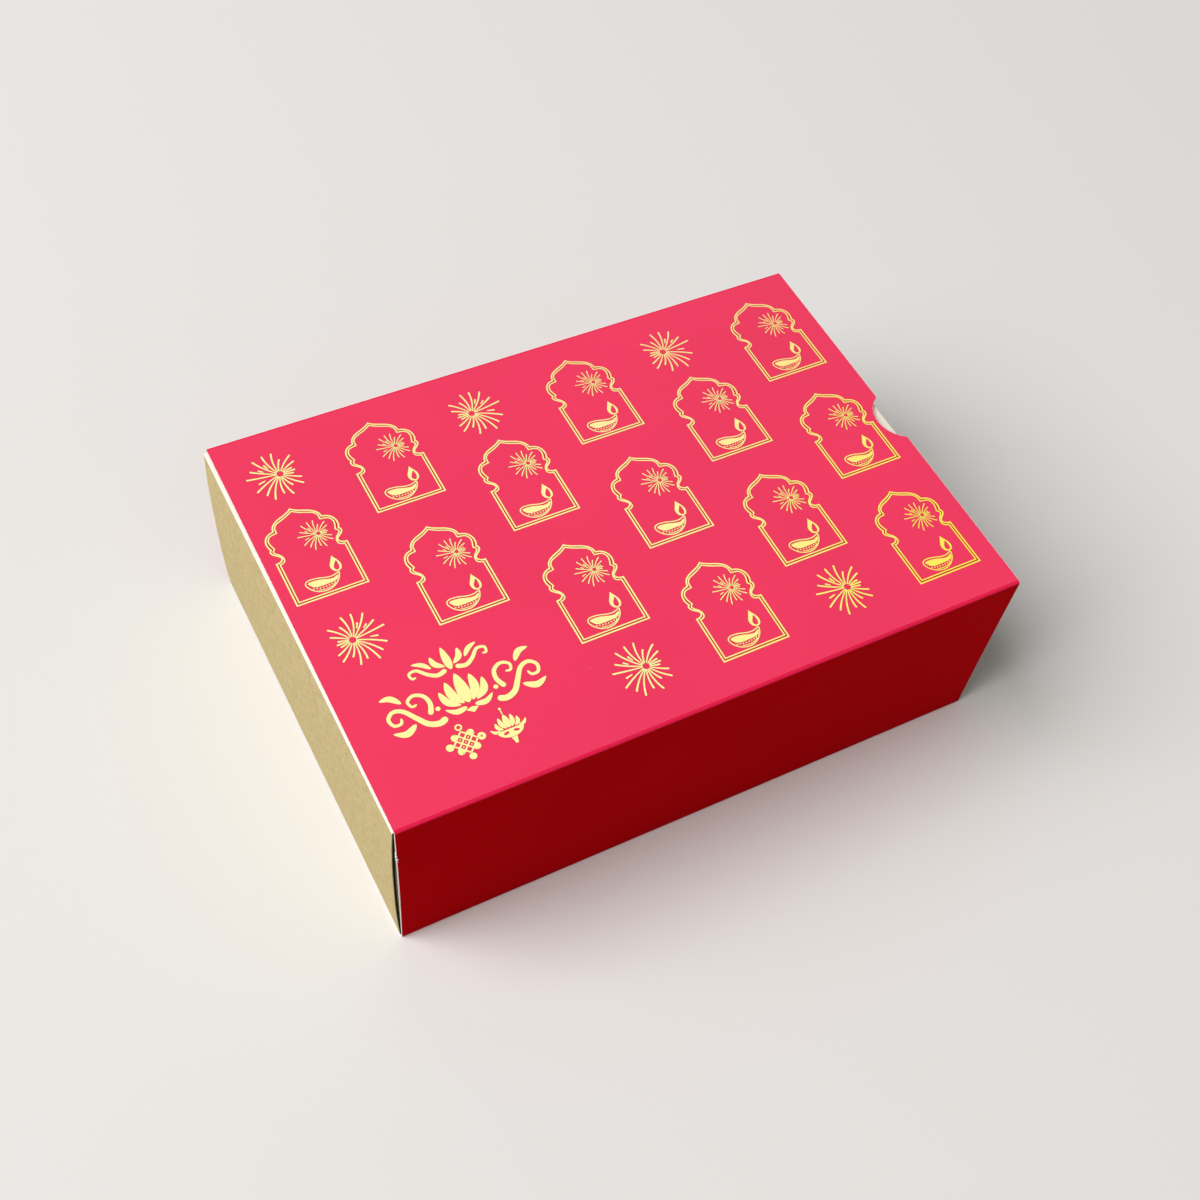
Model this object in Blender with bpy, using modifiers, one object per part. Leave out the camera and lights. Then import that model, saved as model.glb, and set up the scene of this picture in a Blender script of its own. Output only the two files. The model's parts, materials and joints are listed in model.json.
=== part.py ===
"""A sliding gift box: a red carton sleeve, open at both ends, round a folded kraft tray.

Metres, +Z up. X runs along the slide, with the thumb notch at +X, and the front wall faces -Y.
The origin is the middle of the sleeve's underside. Each panel between two fold lines is one
object, as a carton maker names and sizes it, and the panels of one sheet share a parent empty.
"""

from math import atan2, cos, pi, radians, sin, sqrt, tan

import bmesh
import bpy
from mathutils import Vector

# Sleeve, outside sizes when squared up
sleeve_length = 0.254
sleeve_width = 0.180
sleeve_height = 0.084
sleeve_board = 0.0006
crease_inner_radius = 0.0006
crease_leg = 0.0004  # straight run at the end of a fold, so that its cut edge is square

# Thumb notch in the sleeve's top panel, a round cut with eased shoulders
thumb_radius = 0.0131
thumb_depth = 0.0066
thumb_shoulder_radius = 0.0015

# Glue flap and the glue under it, inside the sleeve's back panel
glue_flap_height = 0.0135
glue_flap_taper = radians(15)
glue_film = 0.0001
glue_film_height = 0.008
glue_film_end_margin = 0.012

# Tray, folded from fluted kraft board, with double end walls
tray_board = 0.0015
tray_fold_share = 0.8  # outside radius of a fold, as a share of the board
tray_stand_out = 0.0012  # the left end stands this far out of the sleeve
tray_set_back = 0.0027  # the right end stops this far inside the sleeve
end_panel_inset = 0.0003  # outer end panel's edge to the long wall's outer face
spine_clearance = 0.0011  # edge of the spine and inner panel to the long wall's inner face
corner_flap_length = 0.060
corner_flap_chamfer = 0.010
corner_flap_headroom = 0.0010
tongue_width = 0.024
tongue_centre = 0.045  # from the middle of the tray's width
slot_clearance = 0.0003

# Clearances
seat_gap = 0.0003  # between faces that touch on the real box
film_gap = 0.0001  # each side of the glue
slide_clearance = 0.0006  # tray's back wall to the glue flap
top_clearance = 0.0010  # tray's rim to the sleeve's top panel

# Modelling values
cut_overrun = 0.004  # a cutter reaches this far past what it cuts
crease_steps = 5
thumb_steps = 28
shoulder_steps = 6
fold_steps = 3

# Colours and finish, as red, green, blue in linear light, then roughness
red_laminate = ((0.60, 0.012, 0.045), 0.45)
kraft_paper = ((0.50, 0.38, 0.21), 0.85)
clear_glue = ((0.80, 0.76, 0.62), 0.40)

# Sleeve places worked out from the sizes above
half_length = sleeve_length / 2
half_width = sleeve_width / 2
crease_radius = crease_inner_radius + sleeve_board
seam_gap = glue_film + 2 * film_gap
back_inner_y = half_width - sleeve_board
flap_outer_y = back_inner_y - seam_gap
flap_inner_y = flap_outer_y - sleeve_board
fold_top_z = crease_radius + crease_leg
wall_foot_z = fold_top_z + seat_gap
wall_head_z = sleeve_height - fold_top_z - seat_gap

# Tray sizes that fit the sleeve
tray_length = sleeve_length + tray_stand_out - tray_set_back
tray_front_y = -half_width + sleeve_board + seat_gap
tray_back_y = flap_inner_y - slide_clearance
tray_width = tray_back_y - tray_front_y
tray_foot_z = sleeve_board + seat_gap
tray_height = sleeve_height - sleeve_board - top_clearance - tray_foot_z
tray_centre_x = -half_length - tray_stand_out + tray_length / 2
tray_centre_y = (tray_front_y + tray_back_y) / 2
tray_fold_radius = tray_board * tray_fold_share

# Layers of a double end wall, each measured inwards from the tray's end
layer_pitch = tray_board + seat_gap
spine_depth = 3 * tray_board + 2 * seat_gap
end_panel_length = tray_width - 2 * end_panel_inset
spine_length = tray_width - 2 * (tray_board + spine_clearance)
wall_length = tray_length - 2 * layer_pitch
panel_foot_z = tray_board + seat_gap
panel_head_z = tray_height - tray_board - seat_gap

sides = {
    "-x": Vector((-1, 0, 0)),
    "+x": Vector((1, 0, 0)),
    "-y": Vector((0, -1, 0)),
    "+y": Vector((0, 1, 0)),
    "-z": Vector((0, 0, -1)),
    "+z": Vector((0, 0, 1)),
}

# How a flat outline is turned: lying flat, standing across Y, or standing across X
lying = (0, 0, 0)
facing_y = (pi / 2, 0, 0)
facing_x = (pi / 2, 0, pi / 2)


def clear_scene():
    for obj in list(bpy.data.objects):
        bpy.data.objects.remove(obj, do_unlink=True)


def new_collection(name):
    collection = bpy.data.collections.new(name)
    bpy.context.scene.collection.children.link(collection)
    return collection


def new_empty(name, location, collection):
    empty = bpy.data.objects.new(name, None)
    empty.location = location
    collection.objects.link(empty)
    return empty


def finish_piece(obj, parent, paint, collection):
    """Files a piece under its parent, with a material of its own."""
    colour, roughness = paint
    material = bpy.data.materials.new(obj.name + "_finish")
    material.use_nodes = True
    shader = material.node_tree.nodes["Principled BSDF"]
    shader.inputs["Base Color"].default_value = (*colour, 1)
    shader.inputs["Roughness"].default_value = roughness
    shader.inputs["Metallic"].default_value = 0
    obj.data.materials.append(material)
    obj.parent = parent
    collection.objects.link(obj)
    return obj


def box_mesh(name, size, folds=()):
    """A box round its own centre, with the edges between the named sides rounded as folds."""
    mesh = bpy.data.meshes.new(name)
    shape = bmesh.new()
    bmesh.ops.create_cube(shape, size=1)
    bmesh.ops.scale(shape, vec=size, verts=shape.verts)
    for first, second in folds:
        wanted = {first, second}
        edges = []
        for edge in shape.edges:
            near = {
                side
                for face in edge.link_faces
                for side, normal in sides.items()
                if face.normal.dot(normal) > cos(radians(1))
            }
            if near == wanted:
                edges.append(edge)
        bmesh.ops.bevel(
            shape,
            geom=edges,
            offset=tray_fold_radius,
            segments=fold_steps,
            profile=0.5,
            affect="EDGES",
        )
    shape.to_mesh(mesh)
    shape.free()
    return mesh


def box_between(name, low, high, folds=()):
    """A box given by two corners in its parent's frame."""
    low, high = Vector(low), Vector(high)
    obj = bpy.data.objects.new(name, box_mesh(name, high - low, folds))
    obj.location = (low + high) / 2
    return obj


def flat_outline(name, points, thickness, location, turn):
    """A flat outline filled and given its thickness, half to each side of its own plane."""
    curve = bpy.data.curves.new(name, "CURVE")
    curve.dimensions = "2D"
    curve.fill_mode = "BOTH"
    curve.extrude = thickness / 2
    spline = curve.splines.new("POLY")
    spline.points.add(len(points) - 1)
    for point, (across, up) in zip(spline.points, points):
        point.co = (across, up, 0, 1)
    spline.use_cyclic_u = True
    obj = bpy.data.objects.new(name, curve)
    obj.location = location
    obj.rotation_euler = turn
    return obj


def arc(centre, radius, start, end, steps):
    """Points along an arc in a plane, from one angle to another."""
    points = []
    for step in range(steps + 1):
        angle = start + (end - start) * step / steps
        points.append((centre[0] + radius * cos(angle), centre[1] + radius * sin(angle)))
    return points


def folded_sheet(name, profile):
    """A board bent along its length: a profile of (Y, Z) points drawn out along X, then solid."""
    mesh = bpy.data.meshes.new(name)
    shape = bmesh.new()
    row = [shape.verts.new((-half_length, y, z)) for y, z in profile]
    edges = [shape.edges.new(pair) for pair in zip(row, row[1:])]
    drawn = bmesh.ops.extrude_edge_only(shape, edges=edges)["geom"]
    moved = [part for part in drawn if isinstance(part, bmesh.types.BMVert)]
    bmesh.ops.translate(shape, vec=(sleeve_length, 0, 0), verts=moved)
    bmesh.ops.recalc_face_normals(shape, faces=shape.faces)
    shape.faces.ensure_lookup_table()
    middle = max(shape.faces, key=lambda face: face.calc_area())
    outward = Vector((0, 0, 1 if middle.calc_center_median().z > sleeve_height / 2 else -1))
    if middle.normal.dot(outward) < 0:
        bmesh.ops.reverse_faces(shape, faces=shape.faces)
    shape.to_mesh(mesh)
    shape.free()
    obj = bpy.data.objects.new(name, mesh)
    board = obj.modifiers.new("board", "SOLIDIFY")
    board.thickness = sleeve_board
    board.offset = -1
    board.use_even_offset = True
    return obj


def cutter_from(obj, cutters):
    """Makes a mesh cutter of an object that holds a curve or a mesh."""
    cutters.objects.link(obj)
    if obj.type == "CURVE":
        bpy.context.view_layer.update()
        solid = bpy.data.meshes.new_from_object(obj.evaluated_get(bpy.context.evaluated_depsgraph_get()))
        shape = bmesh.new()
        shape.from_mesh(solid)
        bmesh.ops.remove_doubles(shape, verts=shape.verts, dist=film_gap / 10)
        bmesh.ops.recalc_face_normals(shape, faces=shape.faces)
        shape.to_mesh(solid)
        shape.free()
        made = bpy.data.objects.new(obj.name + "_solid", solid)
        made.matrix_world = obj.matrix_world
        cutters.objects.link(made)
        bpy.data.objects.remove(obj, do_unlink=True)
        obj = made
    obj.hide_render = True
    obj.display_type = "WIRE"
    return obj


def cut(obj, cutter):
    modifier = obj.modifiers.new(cutter.name, "BOOLEAN")
    modifier.operation = "DIFFERENCE"
    modifier.solver = "EXACT"
    modifier.object = cutter


def thumb_outline():
    """The notch's outline as seen from above: two eased shoulders and a round cut between them."""
    middle_x = half_length - thumb_depth + thumb_radius
    ease_x = half_length - thumb_shoulder_radius
    reach = thumb_radius + thumb_shoulder_radius
    ease_y = sqrt(reach**2 - (middle_x - ease_x) ** 2)
    lean = atan2(ease_y, middle_x - ease_x)
    upper = arc((ease_x, ease_y), thumb_shoulder_radius, 0, -lean, shoulder_steps)
    round_cut = arc((middle_x, 0), thumb_radius, pi - lean, pi + lean, thumb_steps)
    lower = arc((ease_x, -ease_y), thumb_shoulder_radius, lean, 0, shoulder_steps)
    outer_x = half_length + cut_overrun
    return [(outer_x, ease_y), *upper, *round_cut[1:-1], *lower, (outer_x, -ease_y)]


def sleeve_top(sleeve, part, cutters):
    head_z = sleeve_height - crease_radius
    fold_y = half_width - crease_radius
    leg_z = head_z - crease_leg
    profile = [
        (-half_width, leg_z),
        *arc((-fold_y, head_z), crease_radius, pi, pi / 2, crease_steps),
        *arc((fold_y, head_z), crease_radius, pi / 2, 0, crease_steps),
        (half_width, leg_z),
    ]
    panel = folded_sheet("sleeve_top_panel", profile)
    finish_piece(panel, sleeve, red_laminate, part)
    notch = flat_outline(
        "thumb_notch",
        thumb_outline(),
        sleeve_board + 2 * cut_overrun,
        (0, 0, sleeve_height - sleeve_board / 2),
        lying,
    )
    cut(panel, cutter_from(notch, cutters))


def sleeve_bottom(sleeve, part):
    front_y = -half_width + crease_radius
    back_y = flap_outer_y - crease_radius
    profile = [
        (-half_width, fold_top_z),
        *arc((front_y, crease_radius), crease_radius, pi, 3 * pi / 2, crease_steps),
        *arc((back_y, crease_radius), crease_radius, 3 * pi / 2, 2 * pi, crease_steps),
        (flap_outer_y, fold_top_z),
    ]
    finish_piece(folded_sheet("sleeve_bottom_panel", profile), sleeve, red_laminate, part)


def sleeve_walls(sleeve, part):
    front = box_between(
        "sleeve_front_panel",
        (-half_length, -half_width, wall_foot_z),
        (half_length, -half_width + sleeve_board, wall_head_z),
    )
    finish_piece(front, sleeve, red_laminate, part)
    back = box_between(
        "sleeve_back_panel",
        (-half_length, back_inner_y, seat_gap),
        (half_length, half_width, wall_head_z),
    )
    finish_piece(back, sleeve, red_laminate, part)


def sleeve_seam(sleeve, part):
    """The glue flap, folded up from the bottom panel inside the back panel, and its glue."""
    ease = glue_flap_height * tan(glue_flap_taper)
    outline = [
        (-half_length, 0),
        (half_length, 0),
        (half_length - ease, glue_flap_height),
        (-half_length + ease, glue_flap_height),
    ]
    flap_y = flap_outer_y - sleeve_board / 2
    flap = flat_outline(
        "sleeve_glue_flap", outline, sleeve_board, (0, flap_y, wall_foot_z), facing_y
    )
    finish_piece(flap, sleeve, red_laminate, part)
    film_foot_z = wall_foot_z + (glue_flap_height - glue_film_height) / 2
    film = box_between(
        "sleeve_glue_line",
        (-half_length + glue_film_end_margin, flap_outer_y + film_gap, film_foot_z),
        (
            half_length - glue_film_end_margin,
            back_inner_y - film_gap,
            film_foot_z + glue_film_height,
        ),
    )
    finish_piece(film, sleeve, clear_glue, part)


def tray_floor(tray, part, cutters):
    """The floor, cut away at its corners and slotted for the locking tongues."""
    half_x, half_y = tray_length / 2, tray_width / 2
    floor = box_between(
        "tray_floor",
        (-half_x, -half_y, 0),
        (half_x, half_y, tray_board),
        folds=[("-x", "-z"), ("+x", "-z"), ("-y", "-z"), ("+y", "-z")],
    )
    finish_piece(floor, tray, kraft_paper, part)
    tongue_x = half_x - 2 * layer_pitch - tray_board / 2
    for end, end_name in ((-1, "left"), (1, "right")):
        for side, side_name in ((-1, "front"), (1, "back")):
            corner = (end * (half_x - layer_pitch), side * end_panel_length / 2)
            beyond = (end * (half_x + cut_overrun), side * (half_y + cut_overrun))
            notch = box_between(
                f"corner_{end_name}_{side_name}",
                (min(corner[0], beyond[0]), min(corner[1], beyond[1]), -cut_overrun),
                (max(corner[0], beyond[0]), max(corner[1], beyond[1]), cut_overrun),
            )
            notch.parent = tray
            cut(floor, cutter_from(notch, cutters))
            slot_x = tray_board / 2 + slot_clearance
            slot_y = tongue_width / 2 + slot_clearance
            slot = box_between(
                f"slot_{end_name}_{side_name}",
                (end * tongue_x - slot_x, side * tongue_centre - slot_y, -cut_overrun),
                (end * tongue_x + slot_x, side * tongue_centre + slot_y, cut_overrun),
            )
            slot.parent = tray
            cut(floor, cutter_from(slot, cutters))


def tray_long_walls(tray, part):
    for side, side_name in ((-1, "front"), (1, "back")):
        outer_y = side * tray_width / 2
        inner_y = side * (tray_width / 2 - tray_board)
        face = "-y" if side < 0 else "+y"
        wall = box_between(
            f"tray_{side_name}_wall",
            (-wall_length / 2, min(outer_y, inner_y), panel_foot_z),
            (wall_length / 2, max(outer_y, inner_y), tray_height),
            folds=[("-x", face), ("+x", face)],
        )
        finish_piece(wall, tray, kraft_paper, part)


def corner_flap_outline(side):
    """A flap from the long wall's inner face inwards, with its free corners cut off."""
    root = side * (tray_width / 2 - tray_board - seat_gap)
    tip = root - side * corner_flap_length
    shoulder = tip + side * corner_flap_chamfer
    head_z = panel_head_z - corner_flap_headroom
    return [
        (root, panel_foot_z),
        (shoulder, panel_foot_z),
        (tip, panel_foot_z + corner_flap_chamfer),
        (tip, head_z - corner_flap_chamfer),
        (shoulder, head_z),
        (root, head_z),
    ]


def inner_panel_outline():
    """The inner end panel with its two locking tongues, which pass down through the floor."""
    half = spine_length / 2
    tip_z = seat_gap
    outline = [(-half, panel_head_z), (-half, panel_foot_z)]
    for centre in (-tongue_centre, tongue_centre):
        outline += [
            (centre - tongue_width / 2, panel_foot_z),
            (centre - tongue_width / 2, tip_z),
            (centre + tongue_width / 2, tip_z),
            (centre + tongue_width / 2, panel_foot_z),
        ]
    return [*outline, (half, panel_foot_z), (half, panel_head_z)]


def tray_end(tray, part, end, end_name):
    """A double end wall: outer panel, two corner flaps, inner panel, and the spine over them."""
    outer_x = end * tray_length / 2
    panel_x = outer_x - end * tray_board
    outer = box_between(
        f"tray_{end_name}_end_panel",
        (min(outer_x, panel_x), -end_panel_length / 2, panel_foot_z),
        (max(outer_x, panel_x), end_panel_length / 2, panel_head_z),
    )
    finish_piece(outer, tray, kraft_paper, part)
    spine_x = outer_x - end * spine_depth
    spine = box_between(
        f"tray_{end_name}_end_spine",
        (min(outer_x, spine_x), -spine_length / 2, tray_height - tray_board),
        (max(outer_x, spine_x), spine_length / 2, tray_height),
        folds=[("-x", "+z"), ("+x", "+z")],
    )
    finish_piece(spine, tray, kraft_paper, part)
    middle_x = outer_x - end * (layer_pitch + tray_board / 2)
    for side, side_name in ((-1, "front"), (1, "back")):
        flap = flat_outline(
            f"tray_{end_name}_{side_name}_flap",
            corner_flap_outline(side),
            tray_board,
            (middle_x, 0, 0),
            facing_x,
        )
        finish_piece(flap, tray, kraft_paper, part)
    inner = flat_outline(
        f"tray_{end_name}_inner_panel",
        inner_panel_outline(),
        tray_board,
        (middle_x - end * layer_pitch, 0, 0),
        facing_x,
    )
    finish_piece(inner, tray, kraft_paper, part)


def main():
    clear_scene()
    part = new_collection("sliding_box")
    cutters = new_collection("cutters")
    sleeve = new_empty("sleeve", (0, 0, 0), part)
    sleeve_top(sleeve, part, cutters)
    sleeve_bottom(sleeve, part)
    sleeve_walls(sleeve, part)
    sleeve_seam(sleeve, part)
    tray = new_empty("tray_slide", (tray_centre_x, tray_centre_y, tray_foot_z), part)
    tray_floor(tray, part, cutters)
    tray_long_walls(tray, part)
    tray_end(tray, part, -1, "left")
    tray_end(tray, part, 1, "right")


main()
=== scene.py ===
"""A sliding gift box: a foil-stamped carton sleeve round a folded kraft tray.

Both halves are made as a carton maker makes them. A flat blank is cut, given
its thickness, and folded along its creases. Lengths in the classes are in
millimetres, and every mesh is scaled to metres as its last step.
"""
from __future__ import annotations

import json
import logging
import math
from collections.abc import Callable, Iterable, Sequence
from dataclasses import dataclass, field
from enum import Enum
from itertools import product

import bmesh
import bpy
from mathutils import Matrix, Quaternion, Vector
from mathutils.geometry import interpolate_bezier


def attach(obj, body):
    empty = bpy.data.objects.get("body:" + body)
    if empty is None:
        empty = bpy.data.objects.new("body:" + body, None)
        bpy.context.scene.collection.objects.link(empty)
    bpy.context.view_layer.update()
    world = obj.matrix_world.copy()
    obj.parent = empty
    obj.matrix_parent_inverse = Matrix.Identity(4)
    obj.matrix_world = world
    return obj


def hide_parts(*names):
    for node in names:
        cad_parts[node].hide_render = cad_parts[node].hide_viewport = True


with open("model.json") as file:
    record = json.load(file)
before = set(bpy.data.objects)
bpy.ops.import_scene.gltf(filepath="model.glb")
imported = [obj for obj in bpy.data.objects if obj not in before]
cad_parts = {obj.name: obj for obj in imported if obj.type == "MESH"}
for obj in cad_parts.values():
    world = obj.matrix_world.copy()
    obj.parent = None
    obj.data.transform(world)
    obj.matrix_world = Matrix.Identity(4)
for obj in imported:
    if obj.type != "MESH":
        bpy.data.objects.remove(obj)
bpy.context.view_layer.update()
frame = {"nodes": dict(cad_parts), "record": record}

log = logging.getLogger("sliding_box")

MM = 0.001
SHARP = math.radians(38)         # an edge that turns more than this stays sharp
SAME = 1e-4                      # places nearer than this are one, in millimetres
BLANK_MAP = "blank"              # the place on a sheet's flat blank, in metres
WEAR_AND_LIGHT = "wear_and_light"                    # how worn the tray's folds are, with painted highlight on them and on the rims, from 0 to 1
SURROUND = "#FBFAF8"             # the pale surround of the box

Point = tuple[float, float]
Place = tuple[float, float, float]
Width = float | Callable[[float], float]
Tree = bpy.types.NodeTree
Socket = bpy.types.NodeSocket
Material = bpy.types.Material
Piece = bpy.types.Object
Shape = bmesh.types.BMesh


def linear(colour: str) -> tuple[float, float, float, float]:
    """Turn an sRGB hex colour to the linear values that a shader reads.

    Args:
        colour: Six hex digits after a hash sign.

    Returns:
        Linear red, green, blue and an alpha of one.
    """
    parts = [int(colour[k:k + 2], 16) / 255 for k in (1, 3, 5)]
    values = [p / 12.92 if p <= 0.04045 else ((p + 0.055) / 1.055) ** 2.4 for p in parts]
    return (values[0], values[1], values[2], 1.0)


def smoothstep(value: float, low: float, high: float) -> float:
    """Return 0 below low, 1 above high and an even ramp between them."""
    t = min(max((value - low) / (high - low), 0.0), 1.0)
    return t * t * (3 - 2 * t)


def add_node(tree: Tree, kind: str, inputs: dict | None = None,
             **settings: object) -> bpy.types.Node:
    """Add a shader node with its settings, values and links.

    Args:
        tree: The node tree that gets the node.
        kind: The node's type.
        inputs: Values, hex colours or source sockets, by the input's name or number.
            None leaves an input at its own value.
        **settings: Fields of the node.

    Returns:
        The new node.
    """
    node = tree.nodes.new(kind)
    for field_name, value in settings.items():
        setattr(node, field_name, value)
    for key, value in (inputs or {}).items():
        if isinstance(value, Socket):
            tree.links.new(value, node.inputs[key])
        elif value is not None:
            node.inputs[key].default_value = linear(value) if isinstance(value, str) else value
    return node


def flat_place(tree: Tree) -> Socket:
    """Return the place on a piece's flat blank, in metres."""
    return add_node(tree, "ShaderNodeUVMap", uv_map=BLANK_MAP).outputs["UV"]


def solid_place(tree: Tree) -> Socket:
    """Return the place in the box's own frame, in metres."""
    return add_node(tree, "ShaderNodeTexCoord").outputs["Object"]


def noise(tree: Tree, place: Socket, cell: float, detail: float = 2.0,
          roughness: float = 0.5) -> Socket:
    """Add noise and return its value, which keeps near a half.

    Args:
        tree: The material's node tree.
        place: The coordinates.
        cell: The size of a blot, in the coordinates' unit.
        detail: How many finer layers it has.
        roughness: How strong the finer layers are.

    Returns:
        The noise's socket.
    """
    return add_node(tree, "ShaderNodeTexNoise", {
        "Vector": place, "Scale": 1 / cell, "Detail": detail,
        "Roughness": roughness}).outputs["Fac"]


def stretch(tree: Tree, place: Socket, per_metre: Place) -> Socket:
    """Scale coordinates to so many blots in a metre each way, and return them."""
    return add_node(tree, "ShaderNodeMapping", {
        "Vector": place, "Scale": per_metre}).outputs[0]


def remap(tree: Tree, value: Socket, low: float, high: float, to_low: float = 0.0,
          to_high: float = 1.0, curve: str = "LINEAR") -> Socket:
    """Turn one range of values into another, and stop at its ends.

    Args:
        tree: The node tree.
        value: The value.
        low: What becomes to_low.
        high: What becomes to_high.
        to_low: The result at low.
        to_high: The result at high.
        curve: How it runs between them, as the node's setting calls it.

    Returns:
        The result's socket.
    """
    return add_node(tree, "ShaderNodeMapRange", {
        "Value": value, "From Min": low, "From Max": high, "To Min": to_low,
        "To Max": to_high}, interpolation_type=curve).outputs[0]


def compute(tree: Tree, operation: str, *values: float | Socket) -> Socket:
    """Work out a number from numbers and return it."""
    return add_node(tree, "ShaderNodeMath", dict(enumerate(values)),
                    operation=operation).outputs[0]


def measure(tree: Tree, operation: str, *places: Socket | tuple) -> Socket:
    """Work out a number from places or directions, such as a distance, and return it."""
    return add_node(tree, "ShaderNodeVectorMath", dict(enumerate(places)),
                    operation=operation).outputs["Value"]


def blend(tree: Tree, share: Socket, first: str | Socket, second: str | Socket) -> Socket:
    """Mix two colours, with so large a share of the second, and return the colour."""
    return add_node(tree, "ShaderNodeMix", {"Factor": share, "A": first, "B": second},
                    data_type="RGBA").outputs["Result"]


def tone(tree: Tree, colour: str | Socket, level: Socket) -> Socket:
    """Multiply a colour's value by a level and return the colour."""
    return add_node(tree, "ShaderNodeHueSaturation", {
        "Color": colour, "Value": level}).outputs["Color"]


def relief(tree: Tree, height: Socket, strength: float, depth: float,
           under: Socket | None = None) -> Socket:
    """Turn heights into a bumpy normal.

    Args:
        tree: The material's node tree.
        height: The heights.
        strength: The bump's strength.
        depth: How far the heights reach, in metres.
        under: A bumpy normal that this one lies on.

    Returns:
        The normal's socket.
    """
    return add_node(tree, "ShaderNodeBump", {
        "Height": height, "Strength": strength, "Distance": depth,
        "Normal": under}).outputs["Normal"]


def surface(tree: Tree, colour: Socket, roughness: float, normal: Socket | None = None,
            specular: float | None = None, ior: float | None = 1.5,
            metallic: float | None = None) -> bpy.types.Node:
    """Add the surface's own shader.

    Args:
        tree: The material's node tree.
        colour: Its colour.
        roughness: Its roughness.
        normal: Its bumpy normal.
        specular: The level of its gloss; None keeps the shader's own.
        ior: Its index of refraction; None keeps the shader's own.
        metallic: One for metal; None keeps the shader's own.

    Returns:
        The shader's node.
    """
    return add_node(tree, "ShaderNodeBsdfPrincipled", {
        "Base Color": colour, "Roughness": roughness, "IOR": ior,
        "Specular IOR Level": specular, "Metallic": metallic, "Normal": normal})


def seen_by(tree: Tree, *rays: str) -> Socket:
    """Say whether one of the named kinds of ray is looking.

    Args:
        tree: The node tree.
        *rays: Names of the light path's outputs.

    Returns:
        A socket that is one for those rays and nought for others.
    """
    path = add_node(tree, "ShaderNodeLightPath")
    shown = path.outputs[rays[0]]
    for ray in rays[1:]:
        shown = compute(tree, "MAXIMUM", shown, path.outputs[ray])
    return shown


def new_object(name: str, data: bpy.types.ID) -> Piece:
    """Make an object at the origin and put it in the scene.

    Args:
        name: Its name.
        data: What it shows.

    Returns:
        The object.
    """
    made = bpy.data.objects.new(name, data)
    bpy.context.scene.collection.objects.link(made)
    return made


def to_object(bm: Shape, name: str, materials: Sequence[Material]) -> Piece:
    """Scale a finished shape to metres and put it in the scene.

    Args:
        bm: The shape in millimetres; it is freed.
        name: The piece's name.
        materials: One material for each material index that the shape uses.

    Returns:
        The new object, at the origin.
    """
    bmesh.ops.scale(bm, vec=(MM, MM, MM), verts=bm.verts[:])
    for face in bm.faces:
        face.smooth = True
    for edge in bm.edges:
        if len(edge.link_faces) == 2 and edge.calc_face_angle(0.0) > SHARP:
            edge.smooth = False
    mesh = bpy.data.meshes.new(name)
    bm.to_mesh(mesh)
    bm.free()
    for material in materials:
        mesh.materials.append(material)
    return new_object(name, mesh)


@dataclass(frozen=True)
class Finish:
    """A surface as it was made; each finish below says how it looks."""

    name: str = "finish"

    def dress(self, tree: Tree) -> bpy.types.Node:
        """Add the nodes and return the shader."""
        raise NotImplementedError

    def material(self) -> Material:
        """Make the material and return it."""
        material = bpy.data.materials.new(self.name)
        material.use_nodes = True
        tree = material.node_tree
        tree.nodes.clear()
        shader = self.dress(tree)
        add_node(tree, "ShaderNodeOutputMaterial", {"Surface": shader.outputs[0]})
        return material


class Lie(Enum):
    """How a printed panel lies, and how much gloss its film keeps."""

    LEVEL = 0.3
    FOLD = 0.08
    UPRIGHT = 0.003


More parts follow.
